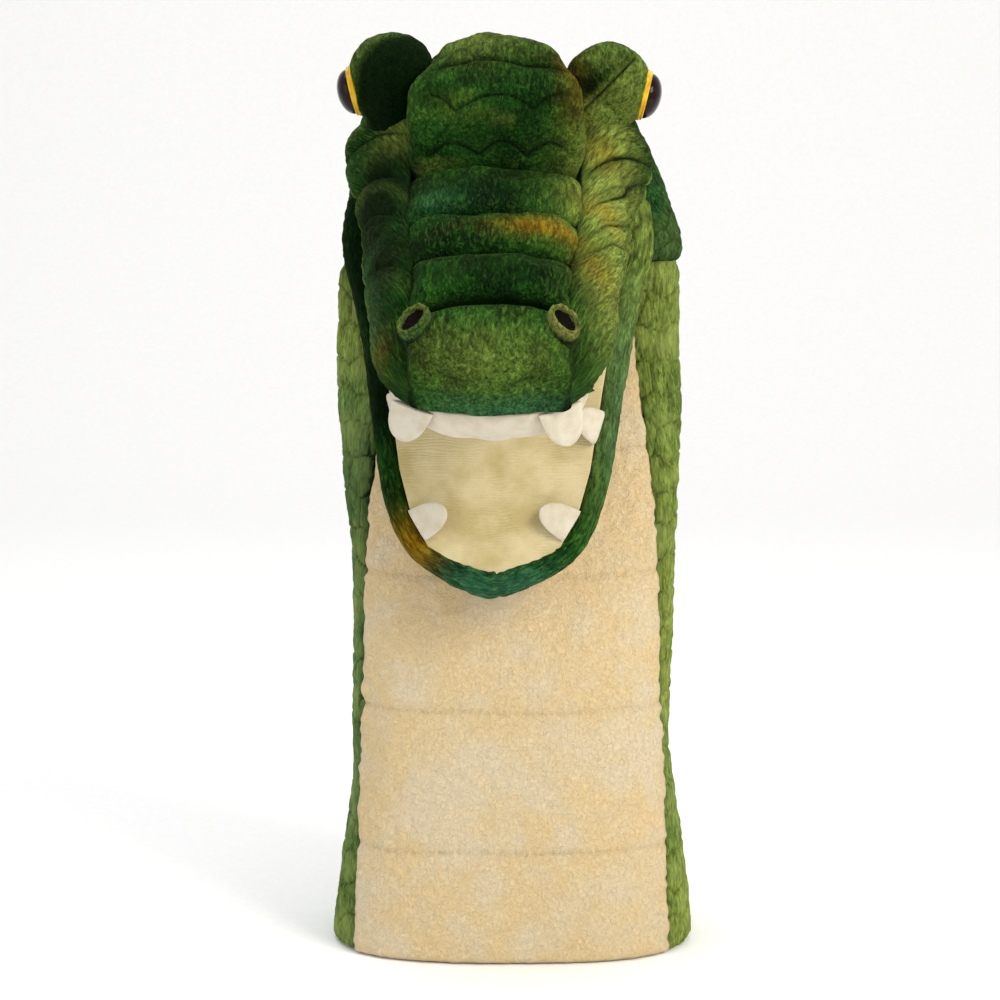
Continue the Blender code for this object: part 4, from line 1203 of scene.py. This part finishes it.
def build_dome():
    """The stuffed cranium, with scalloped lines of stitches over its brow."""
    direction, faces = ball(104)
    size = np.array(DOME_SIZE)
    ahead = step(-0.15, 0.55, direction[:, 1])
    side_power = 2.2 + 0.9 * ahead
    wide_power = 3.0 + 4.0 * ahead
    side_view = np.abs(direction[:, 1]) ** side_power + np.abs(direction[:, 2]) ** side_power
    radius = np.abs(direction[:, 0]) ** wide_power + side_view ** (wide_power / side_power)
    radius = radius ** (-1.0 / wide_power)
    local = np.array(DOME_CENTRE) + direction * radius[:, None] * size
    local[:, 2] = np.maximum(local[:, 2], 0.0165)
    taper = np.interp(local[:, 1], (-0.06, -0.04, -0.015, 0.006), (0.68, 0.84, 0.96, 0.985))
    local[:, 0] *= taper
    away = direction * step(-0.1, 0.2, direction[:, 2])[:, None]
    lift = 0.0022 * layered(local, 0.022, 2, 91) + 0.0003 * noise(local, FUZZ, 93)
    lift += 0.001 * noise(local, (0.009, 0.006, 0.006), 95)
    across = local[:, 0]
    lines = np.zeros(len(local))
    turn = np.arctan2(local[:, 2] - DOME_CENTRE[2], local[:, 1] - DOME_CENTRE[1])
    for low, depth, pitch, phase in ((0.42, -0.13, 0.02, 0.35), (0.84, -0.16, 0.033, 0.5),
                                     (1.45, 0.1, 0.04, 0.2)):
        arch = low - depth * np.abs(np.sin((across / pitch + phase) * np.pi))
        arch = arch + 0.04 * noise(local, 0.012, 97)
        lines = np.maximum(lines, fade(turn - arch, 0.034))
    lines *= step(0.033, 0.026, np.abs(across))
    lift -= 0.0019 * lines
    local = local + away * lift[:, None]
    tone = upper_tone(local)
    # Painted shade in the stitch grooves, low down where the dome meets the head and in the dents; painted
    # highlight on the bumps
    stain(tone, DARK_DYE_AND_SHADE, 0.85 * lines)
    stain(tone, DARK_DYE_AND_SHADE, 0.95 * step(0.03, 0.018, local[:, 2]))
    stain(tone, DARK_DYE_AND_SHADE, 0.6 * step(0.1, -0.7, lift / 0.0022))
    stain(tone, LIGHT_DYE_AND_HIGHLIGHT, 0.25 * step(0.2, 0.8, lift / 0.0022))
    made = piece("dome_plush", placed(upper_frame, local), faces, CLOTHS["plush"], local, tone)
    stuff_cover(made, lambda points: unplaced(upper_frame, points)[..., 2] < 0.0225, 0.003)
    jaw_piece(made, "upper_jaw", "cranium_dome")


def creased(spot, size, seed):
    """Rounded folds between sharp creases: (height, how near a crease), both from 0 to 1."""
    value = noise(spot, size, seed)
    near = fade(value, 0.1)
    return np.clip(np.abs(value), 0.0, 1.0) ** 0.6, near


def build_cheek(word, side):
    """The side of the upper jaw: plush gathered in folds from the rolls down to the lip."""
    forwards = np.arange(-0.047, 0.137, 0.0009)[:, None]
    theta = np.linspace(0.0, 1.0, 96)
    wide = half_width(UPPER_OUTLINE, np.maximum(forwards, 0.0)) + 0.0008
    wide = wide + 0.007 * bump(forwards, -0.024, 0.022) - 0.012 * step(-0.03, -0.05, forwards)
    inner_edge = centre_width(forwards) - 0.0016
    wide = np.maximum(wide, inner_edge + 0.0012)
    top = 0.0268 + 0.008 * bump(forwards, -0.012, 0.02) - 0.004 * step(-0.03, -0.05, forwards)
    top = top - 0.006 * step(0.095, 0.115, forwards) - 0.0115 * step(0.112, 0.137, forwards)
    angle = np.pi / 2.0 * np.clip(theta / 0.86, 0.0, 1.0)
    across = inner_edge + (wide - inner_edge) * eased(np.sin(angle), 1.05)
    up = 0.0015 + (top - 0.0015) * eased(np.cos(angle), 1.08)
    under = np.clip((theta - 0.86) / 0.14, 0.0, 1.0)
    across = across - 0.0052 * under
    up = up - 0.0018 * np.sin(np.pi * under)
    local = stacked(across, forwards, up)
    normal = outward(local, (0.03, 0.06, 0.0))
    spot = stacked(theta * 0.055, local[..., 1], 0.0)
    bend = 0.005 * noise(spot, 0.035, 99 + side) + 0.002 * noise(spot, 0.014, 101 + side)
    slanted = spot[..., 1] + (0.95 if side > 0 else 0.55) * spot[..., 0] + bend
    seed = 103.0 + 4.0 * side
    lane = stacked(slanted, spot[..., 0] * 0.16, 0.0)
    folds, crease = creased(lane, 0.0155, seed)
    wrinkle, line = creased(lane + 0.3, 0.0085, seed + 1)
    rear = step(0.105, 0.02, local[..., 1])
    middle = np.sin(np.pi * np.clip(theta + 0.08, 0.0, 0.9)) ** 0.5
    strength = (0.3 + 0.7 * rear) * middle
    lift = (0.0062 * (folds - 0.4) + 0.0018 * (wrinkle - 0.4)) * strength
    lift += 0.0018 * layered(spot, (0.022, 0.03, 0.02), 2, seed + 2)
    lift += 0.00035 * noise(local, FUZZ, seed + 7)
    lift = lift * step(0.0, 0.05, theta) * step(0.137, 0.13, forwards)
    local = pushed(local, normal, lift)
    local[..., 0] *= side
    shift = outward(local, (side * 0.03, 0.06, 0.0))
    back = local - shift * 0.0022
    flow = stacked(local[..., 1] * 0.6 + spot[..., 0], spot[..., 0] - 0.5 * local[..., 1], 0.0)
    tone = upper_tone(local)
    # Painted shade at the top edge against the rolls, in the hollows of the folds and under the lip at the
    # front; painted highlight on the fold ridges, stronger on the right side, and along the lip's edge
    hollow = np.maximum(crease, 0.6 * line) * strength
    stain(tone, DARK_DYE_AND_SHADE, 0.9 * fade(theta, 0.06))
    stain(tone, DARK_DYE_AND_SHADE, 0.92 * hollow)
    ridge = step(0.45, 0.85, folds) * strength
    tone[..., DARK_DYE_AND_SHADE] *= 1.0 - 0.35 * ridge
    stain(tone, LIGHT_DYE_AND_HIGHLIGHT, 0.85 * bump(theta, 0.86, 0.035) * step(0.118, 0.104, forwards))
    stain(tone, DARK_DYE_AND_SHADE, 0.6 * step(0.8, 0.95, theta) * step(0.108, 0.122, forwards))
    stain(tone, LIGHT_DYE_AND_HIGHLIGHT, (0.7 if side > 0 else 0.25) * ridge)
    made = jaw_shell(f"cheek_plush_{word}", upper_frame, local, back, "plush", flow, tone)
    jaw_piece(made, "upper_jaw", f"cheek_{word}")


def build_eye(word, side):
    """One eye mound, and the eye and its gold ring on the flat of the mound."""
    local_centre = MOUND_CENTRES[word]
    centre = placed(upper_frame, [local_centre])[0]
    turn = np.array(upper_frame)[:3, :3]
    aim = np.array((side * math.cos(EYE_DROP), 0.0, 0.0))
    aim = aim + np.array((0.0, -math.sin(UPPER_DROP), -math.cos(UPPER_DROP))) * math.sin(EYE_DROP)
    axis = turn @ aim
    direction, faces = ball(64)
    toward = direction @ axis
    local_dir = (direction @ turn) * np.array((1.0, -1.0, 1.0))
    radius = MOUND_RADIUS * (1.0 + 0.05 * layered(direction * 0.018, 0.014, 2, 111 + side))
    radius = radius * (1.0 + (-0.05 if side > 0 else 0.13) * step(0.2, 1.0, local_dir[:, 2]))
    stem = np.array((-side * 0.62, 0.52, -0.59) if side > 0 else (0.3, 0.3, -0.9))
    radius = radius + (0.012 if side > 0 else 0.009) * step(0.45, 1.0, local_dir @ stem)
    lid = (0.0016 if side > 0 else 0.003) * step(0.2, 0.8, local_dir[:, 1])
    lid = lid + 0.0008 * step(0.2, 0.8, local_dir[:, 2])
    radius = np.minimum(radius, (EYE_SEAT + lid) / np.maximum(toward, 0.01))
    split = local_dir @ np.array((-side * 0.7, -0.36, 0.61))
    groove = fade(split, 0.035) * step(-0.2, 0.3, local_dir[:, 1] + 0.5 * toward) * (side > 0)
    radius = radius - 0.0022 * groove * step(0.98, 0.6, toward)
    radius = radius + 0.0003 * noise(direction * 0.018, FUZZ, 113)
    points = centre + direction * radius[:, None]
    local = unplaced(upper_frame, points)
    tone = upper_tone(local)
    # The left mound's front is painted shade and dark dye, its edges a little lighter; the right mound has
    # a dark inner panel and a light outer one, with painted highlight on its top and painted shade in its
    # seam groove
    if side < 0:
        front = step(-0.2, 0.4, local_dir[:, 1] - 0.7 * toward)
        stain(tone, DARK_DYE_AND_SHADE, 0.97 * front)
        tone[..., LIGHT_DYE_AND_HIGHLIGHT] = 0.15 * (1.0 - front)
    else:
        upper = step(-0.02, 0.25, split)
        tone[..., LIGHT_DYE_AND_HIGHLIGHT] = np.maximum(0.38 * (1.0 - upper), 0.25 * step(0.6, 1.0, local_dir[:, 2]))
        tone[..., DARK_DYE_AND_SHADE] = 0.72 * upper * step(0.95, 0.4, local_dir[:, 2])
        stain(tone, DARK_DYE_AND_SHADE, 0.97 * groove ** 1.2)
    made = piece(f"mound_plush_{word}", points, faces, CLOTHS["plush"], local, tone)
    stuff_cover(made, lambda points: (points - centre) @ axis > EYE_SEAT - 0.0045, 0.0016)
    jaw_piece(made, "upper_jaw", f"eye_mound_{word}")
    ring = [(0.002, 0.0), (0.0103, 0.0), (0.0107, 0.0004), (0.0107, 0.0012), (0.0103, 0.0015),
            (0.0101, 0.0015), (0.0103, 0.0018), (0.0103, 0.0023), (0.0098, 0.0026), (0.002, 0.0026)]
    seat = centre + axis * (EYE_SEAT - 0.0002)
    made = ring_solid(f"eye_ring_{word}", ring, seat, axis, CLOTHS["gold"])
    jaw_piece(made, "upper_jaw", f"eye_rim_{word}")
    dome = [(0.0, -0.01), (0.0019, -0.01), (0.0019, 0.0015), (0.009, 0.0015), (0.0095, 0.0024)]
    for step_angle in np.radians(np.linspace(4.0, 89.0, 20)):
        dome.append((0.0095 * math.cos(step_angle), 0.0024 + 0.006 * math.sin(step_angle)))
    dome.append((0.0, 0.0084))
    made = turned(f"eye_gloss_{word}", dome, seat, axis, CLOTHS["eye"])
    jaw_piece(made, "upper_jaw", f"eye_{word}")


def build_nostril(word, side):
    """A raised oval cup of plush and the dark cloth in it."""
    turn = np.array(upper_frame)[:3, :3]
    axis = unit(np.array((side * 0.3, -0.2, 0.93)))
    longways = np.array((side * 0.62, -0.78, 0.0))
    longways = unit(longways - axis * (longways @ axis))
    across = np.cross(axis, longways)
    foot = np.array(placed(upper_frame, [[side * NOSTRIL_ASIDE, 0.122, 0.0235]])[0])
    sides = 72
    angle = np.linspace(0.0, 2.0 * np.pi, sides, endpoint=False)
    # Rings of the two profiles: (half length, half width, height)
    cup = ((0.004, 0.0026, 0.002), (0.0075, 0.0062, 0.0), (0.0078, 0.006, 0.0035),
           (0.0077, 0.0056, 0.007), (0.0076, 0.0054, 0.0088), (0.0071, 0.0048, 0.0098),
           (0.0064, 0.004, 0.0098), (0.0059, 0.0034, 0.009), (0.0056, 0.003, 0.007),
           (0.005, 0.0028, 0.004))
    patch = ((0.0001, 0.0001, 0.003), (0.0053, 0.0028, 0.003), (0.0056, 0.0031, 0.007),
             (0.0057, 0.0032, 0.0079), (0.004, 0.0022, 0.0076), (0.0001, 0.0001, 0.0073))
    for name, rings, cloth, slot, node, closed in (
            (f"nostril_cup_plush_{word}", cup, "cup", "nostril_plush", f"nostril_cup_{word}", True),
            (f"nostril_dark_{word}", patch, "patch", "nostril_cloth", f"nostril_patch_{word}", False)):
        grid = []
        for long_half, short_half, height in rings:
            wave = 0.00022 * np.sin(7.0 * angle + height * 900.0) + 0.00016 * np.sin(17.0 * angle)
            ring = (np.cos(angle)[:, None] * longways * long_half
                    + np.sin(angle)[:, None] * across * short_half + axis * height)
            spread = ring / np.maximum(np.linalg.norm(ring, axis=-1, keepdims=True), 1e-9)
            grid.append(ring + spread * (wave * (long_half > 0.001))[:, None])
        grid = smooth_rows(np.array(grid), 4, closed)
        local = grid.reshape(-1, 3)
        faces = grid_faces(len(grid) + closed, sides, around=True) % len(local)
        tone = np.zeros((len(local), 4))
        # Painted shade low on the cup, where it stands out of the nose pad; the teal there is dye
        tone[..., DARK_DYE_AND_SHADE] = 0.75 * step(0.0075, 0.0045, local @ axis)
        tone[..., TEAL] = 0.3 * step(0.0075, 0.0045, local @ axis)
        made = piece(name, foot + local @ turn.T, faces, CLOTHS[cloth], local, tone)
        jaw_piece(made, "upper_jaw", node)


def lining_grid(jaw, inset, start, columns, rows, dish, height):
    """A mouth lining between the two edges of a jaw, dished in its middle."""
    lower = jaw is LOWER_OUTLINE
    length = RIM_EDGE[-1][0] if lower else jaw["length"]
    forward = start + (length - inset - start) * np.linspace(0.0, 1.0, rows) ** 0.9
    share = np.linspace(-1.0, 1.0, columns)
    width = rim_half_width(forward + inset * 0.4) if lower else half_width(jaw, forward + inset * 0.55)
    wide = np.maximum(width - inset, 0.002)
    across = wide[:, None] * share[None, :]
    up = height - dish * (1.0 - share[None, :] ** 2) * np.sin(np.pi * np.linspace(0.0, 1.0, rows))[:, None]
    return stacked(across, forward[:, None], up)


def build_lining(name, jaw, jaw_frame, inset, dish, height, thickness, body, node):
    """One of the two linings of the mouth."""
    local = lining_grid(jaw, inset, 0.0075, 100, 130, dish, height)
    lift = 0.0007 * layered(local, (0.03, 0.018, 0.02), 2, 121)
    lift += 0.00008 * noise(local, (0.02, 0.0016, 0.02), 5)
    front = pushed(local, np.array((0.0, 0.0, -np.sign(thickness))), lift)
    back = front + np.array((0.0, 0.0, thickness))
    made = jaw_shell(name, jaw_frame, front, back, "lining", local, undyed(local))
    jaw_piece(made, body, node)


def build_tooth(kind, word, jaw_frame, base, across, along, width, length):
    """A felt tooth: a flat tongue with a round tip and soft edges."""
    across = unit(np.asarray(across, float))
    along = unit(np.asarray(along, float))
    face = np.cross(across, along)
    share = np.sin(np.linspace(0.0, 1.0, 34) * np.pi / 2.0)[:, None]
    aside = np.sin(np.linspace(-1.0, 1.0, 27) * np.pi / 2.0)[None, :]
    half = width / 2.0 * (1.0 - share ** 3.2) ** 0.5 * (1.0 - 0.16 * share)
    centre = np.asarray(base) + along * length * share[..., None]
    grid = centre + across * (half * aside)[..., None] + face * (0.001 * share ** 2)[..., None]
    thick = 0.0012 * (1.0 - np.abs(aside) ** 6 * 0.8) * (1.0 - share ** 8 * 0.8)
    fuzz = 0.00012 * noise(grid, 0.0016, 131)
    front = pushed(grid, face, thick + fuzz)
    back = pushed(grid, -face, thick + fuzz)
    made = jaw_shell(f"{kind}_tooth_felt_{word}", jaw_frame, front, back, "felt", grid, undyed(grid))
    body = "upper_jaw" if kind == "upper" else "lower_jaw"
    jaw_piece(made, body, f"{kind}_tooth_{word}")


def leaning(across, forward, degrees):
    """A level direction raised by an angle."""
    lean = math.radians(degrees)
    return np.array((across, forward, 0.0)) * math.cos(lean) + np.array((0.0, 0.0, math.sin(lean)))


def build_gum():
    """The band of white felt under the front lip."""
    edge = outline(UPPER_OUTLINE, 0.003, 0.121, 150)
    share = np.linspace(0.0, 1.0, 20)[:, None]
    around = np.linspace(-1.0, 1.0, len(edge))
    inward = unit(np.array((0.0, 0.112)) - edge)
    flat = edge[None] + inward[None] * (0.003 * share ** 1.4)[..., None]
    reach = 0.012 + 0.0025 * bump(around, -0.05, 0.45)
    reach = reach * (0.35 + 0.65 * step(1.0, 0.86, np.abs(around)))
    wave = 0.0005 * np.sin(np.linspace(0.0, 30.0, len(edge)))
    up = -0.0004 - (reach + wave) * share
    local = np.concatenate([flat, up[..., None]], axis=-1)
    normal = outward(local, (0.0, 0.11, -0.005))
    puff = 0.0004 + 0.0009 * np.sin(np.pi * share) ** 0.7 + 0.00025 * noise(local, 0.003, 133)
    front = local + normal * puff[..., None]
    back = local - normal * (0.0016 - 0.0008 * share ** 4)[..., None]
    made = jaw_shell("gum_felt", upper_frame, front, back, "felt", local, undyed(local))
    jaw_piece(made, "upper_jaw", "gum_band")


# ---------------------------------------------------------------- lower jaw


def rim_tone(grid):
    """The airbrushed dyes of the lower jaw's rim, with painted shade on its left side and painted light on
    its right.
    """
    local = unplaced(lower_frame, grid)
    tone = undyed(local)
    left = step(0.012, -0.03, local[..., 0])
    lower = step(0.15, 0.08, local[..., 1])
    # Painted shade over the left of the rim's lower part, with random darker dye patches; painted light
    # over its right side
    tone[..., DARK_DYE_AND_SHADE] = 0.7 * left * lower + 0.3 * step(0.4, -0.6, noise(local, 0.018, 145))
    tone[..., LIGHT_DYE_AND_HIGHLIGHT] = 0.55 * step(0.0, 0.04, local[..., 0]) * lower
    tone[..., GOLD] = blobs(local, (((-0.034, 0.146, 0.0), (0.01, 0.012, 0.02), 0.9),))
    tone[..., TEAL] = blobs(local, (((0.004, 0.164, 0.0), (0.03, 0.012, 0.02), 0.9),
                                 ((0.052, 0.09, 0.0), (0.012, 0.06, 0.02), 0.6)))
    return tone


def build_rim():
    """The stuffed plush roll round the edge of the lower jaw, thicker towards the cheeks."""
    count = 420
    halves = np.array(RIM_EDGE)
    edge = np.concatenate([halves, (halves * np.array((1.0, -1.0)))[-2::-1]])[:, ::-1]
    edge = respaced(edge, count)
    for _ in range(60):
        edge[1:-1] = 0.5 * edge[1:-1] + 0.25 * (edge[:-2] + edge[2:])
    share = np.abs(np.linspace(-1.0, 1.0, count))
    radii = 0.005 + 0.0009 * bump(share, 0.0, 0.14) + 0.002 * step(0.45, 1.0, share)
    along = unit(np.gradient(edge, axis=0))
    edge = edge - stacked(along[:, 1], -along[:, 0]) * radii[:, None]
    rise = -0.0042 + 0.0006 * step(0.75, 1.0, share)
    path = placed(lower_frame, np.concatenate([edge, rise[:, None]], axis=-1))
    closing = np.clip((1.0 - share) / 0.02, 0.05, 1.0) ** 0.5

    def wobble(place, angle):
        point = stacked(place * 0.36, np.cos(angle) * 0.006, np.sin(angle) * 0.006)
        seam = fade(place - 0.492, 0.0022)
        return (1.0 + 0.13 * layered(point, (0.02, 0.012, 0.012), 2, 141)
                + 0.06 * noise(point, FUZZ, 143) - 0.16 * seam)

    up = heading(lower_frame, (0.0, 0.0, 1.0))
    made = tube("jaw_rim_plush", path, radii * closing, CLOTHS["plush"], 0.005, rim_tone, 36, wobble, up)
    jaw_piece(made, "lower_jaw", "jaw_rim")


def build_chin():
    """The fleece under the lower jaw."""
    forwards = np.linspace(0.006, 0.1615, 130)[:, None]
    angle = np.linspace(0.0, np.pi, 90)[None, :]
    wide = np.maximum(rim_half_width(forwards) - 0.006, 0.003)
    shrink = (1.0 - (forwards / 0.1655) ** 2.0) ** 0.5
    deep = 0.0125 * shrink + 0.0035
    up = -0.007 - deep * eased(np.sin(angle), 0.8)
    local = stacked(wide * eased(np.cos(angle), 0.9), forwards, up)
    normal = outward(local, (0.0, 0.08, -0.005))
    lift = 0.0012 * layered(local, 0.03, 2, 151) + 0.0003 * noise(local, 0.0026, 153)
    outer = pushed(local, normal, lift)
    inner = outer - normal * 0.0018
    tone = undyed(local)
    # Painted shade over the whole chin fleece, under the lower jaw
    tone[..., DARK_DYE_AND_SHADE] = 0.35
    made = jaw_shell("chin_fleece", lower_frame, outer, inner, "belly", local, tone)
    jaw_piece(made, "lower_jaw", "chin_panel")


def build_fold():
    """The lining's fold at the corner line of the mouth."""
    wave = 0.0006 * np.sin(np.linspace(0.0, 16.0, 60))
    path = placed(head_frame, stacked(np.linspace(-0.055, 0.055, 60), 0.001, wave))
    radii = 0.0042 * np.clip(np.minimum(np.arange(60), 59 - np.arange(60)) / 3.0, 0.1, 1.0) ** 0.5
    made = tube("mouth_fold_lining", path, radii, CLOTHS["lining"], 0.004)
    jaw_piece(made, "neck", "mouth_fold")


# ---------------------------------------------------------------- nodes that keep their CAD shape


def dress_kept_nodes():
    """Give the hidden pieces and the hem facing their materials."""
    kept = {"hem": ("hem_facing",),
            "stuffing": ("cranium_stuffing", "eye_stuffing_right", "eye_stuffing_left"),
            "washer": ("eye_washer_right", "eye_washer_left"),
            "board": ("upper_mouth_plate", "lower_mouth_plate"),
            "pocket": ("finger_pocket_floor", "finger_pocket_roof", "thumb_pocket")}
    for cloth, names in kept.items():
        for name in names:
            for slot in nodes[name].material_slots:
                slot.material = CLOTHS[cloth]


# ---------------------------------------------------------------- studio


def build_studio():
    """A pale floor that curves up behind, soft light from above and a warm light from the right."""
    scene = bpy.context.scene
    profile = [(-2.5, 0.0), (1.0, 0.0)]
    for turn in np.radians(np.linspace(8.0, 82.0, 10)):
        profile.append((1.0 + 0.6 * math.sin(turn), 0.6 - 0.6 * math.cos(turn)))
    profile += [(1.6, 0.6), (1.6, 2.6)]
    points = []
    for across in (-3.0, 3.0):
        points += [(across, deep, tall - 0.0005) for deep, tall in profile]
    count = len(profile)
    faces = [(i, i + 1, i + 1 + count, i + count) for i in range(count - 1)]
    mesh = bpy.data.meshes.new("studio_floor")
    mesh.from_pydata(points, [], faces)
    mesh.shade_smooth()
    finish = Finish("studio_paper", 0.9, specular=0.1)
    grain = finish.noise(finish.object_space(), 300.0, 2.0)
    colour = finish.ramp(grain, ((0.3, (0.9, 0.9, 0.9, 1.0)), (0.7, (0.93, 0.93, 0.93, 1.0))))
    finish.fill(finish.shader, {"Base Color": colour})
    mesh.materials.append(finish.material)
    floor = bpy.data.objects.new("studio_floor", mesh)
    scene.collection.objects.link(floor)
    world = bpy.data.worlds.new("studio_air")
    world.use_nodes = True
    air = world.node_tree.nodes["Background"].inputs
    air["Color"].default_value = (1.0, 1.0, 1.0, 1.0)
    air["Strength"].default_value = 0.75
    scene.world = world
    lights = (("key_light", (0.75, -0.75, 0.85), 0.55, 11.0, (1.0, 0.95, 0.84)),
              ("top_light", (-0.15, 0.1, 1.3), 0.9, 6.0, (1.0, 1.0, 1.0)),
              ("left_fill", (-0.9, -0.6, 0.45), 0.8, 2.0, (0.92, 0.97, 1.0)))
    for name, place, size, power, colour in lights:
        lamp = bpy.data.lights.new(name, "AREA")
        lamp.energy = power
        lamp.size = size
        lamp.color = colour
        holder = bpy.data.objects.new(name, lamp)
        holder.location = place
        aim = Vector((0.0, 0.0, 0.2)) - Vector(place)
        holder.rotation_euler = aim.to_track_quat("-Z", "Y").to_euler()
        scene.collection.objects.link(holder)
    scene.view_settings.view_transform = "Standard"


def build_camera():
    """The view from slightly above, straight at the front."""
    elevation = math.radians(10.0)
    distance = 1.2
    target = Vector((-0.005, 0.0, 0.1921))
    back = Vector((0.0, -math.cos(elevation), math.sin(elevation)))
    lens = bpy.data.cameras.new("front_view")
    lens.lens = 100.7
    lens.sensor_width = 36.0
    camera = bpy.data.objects.new("front_view", lens)
    camera.location = target + back * distance
    camera.rotation_euler = (-back).to_track_quat("-Z", "Y").to_euler()
    bpy.context.scene.collection.objects.link(camera)
    bpy.context.scene.camera = camera


# ---------------------------------------------------------------- the whole puppet


build_studio()
build_camera()
build_sleeve_lining()
build_belly()
for word, side in SIDES:
    build_side(word, side)
build_hood()
build_throat()
for word, side in SIDES:
    build_gusset(word, side)
for roll in ROLLS:
    build_roll(*roll)
build_nose()
build_dome()
for word, side in SIDES:
    build_cheek(word, side)
    build_eye(word, side)
    build_nostril(word, side)
build_lining("palate_cloth", UPPER_OUTLINE, upper_frame, 0.004, -0.001, -0.0012, 0.001, "upper_jaw",
             "palate_lining")
build_lining("jaw_lining_cloth", LOWER_OUTLINE, lower_frame, 0.0085, 0.001, 0.0002, -0.001, "lower_jaw",
             "jaw_lining")
build_gum()
build_rim()
build_chin()
build_fold()
for word, side in SIDES:
    base = (0.0268, 0.1362, -0.001) if side > 0 else (-0.0292, 0.1358, -0.001)
    slant = 0.2 if side > 0 else -0.34
    build_tooth("upper", word, upper_frame, base, (side * 0.86, -0.5, 0.0), (slant, 0.0, -1.0),
                0.0185, 0.0178)
    build_tooth("lower", word, lower_frame, (side * 0.0315, 0.137, 0.001), (side * 0.5, -0.86, 0.0),
                leaning(-side * 0.9, -0.43, 24.0), 0.0145, 0.015)
    start = 0.096 if side > 0 else 0.089
    build_tooth("side", word, lower_frame, (side * 0.0425, start, 0.0016), (side * 0.28, -0.96, 0.0),
                leaning(-side * 0.96, -0.28, 50.0), 0.0145, 0.0135)
dress_kept_nodes()
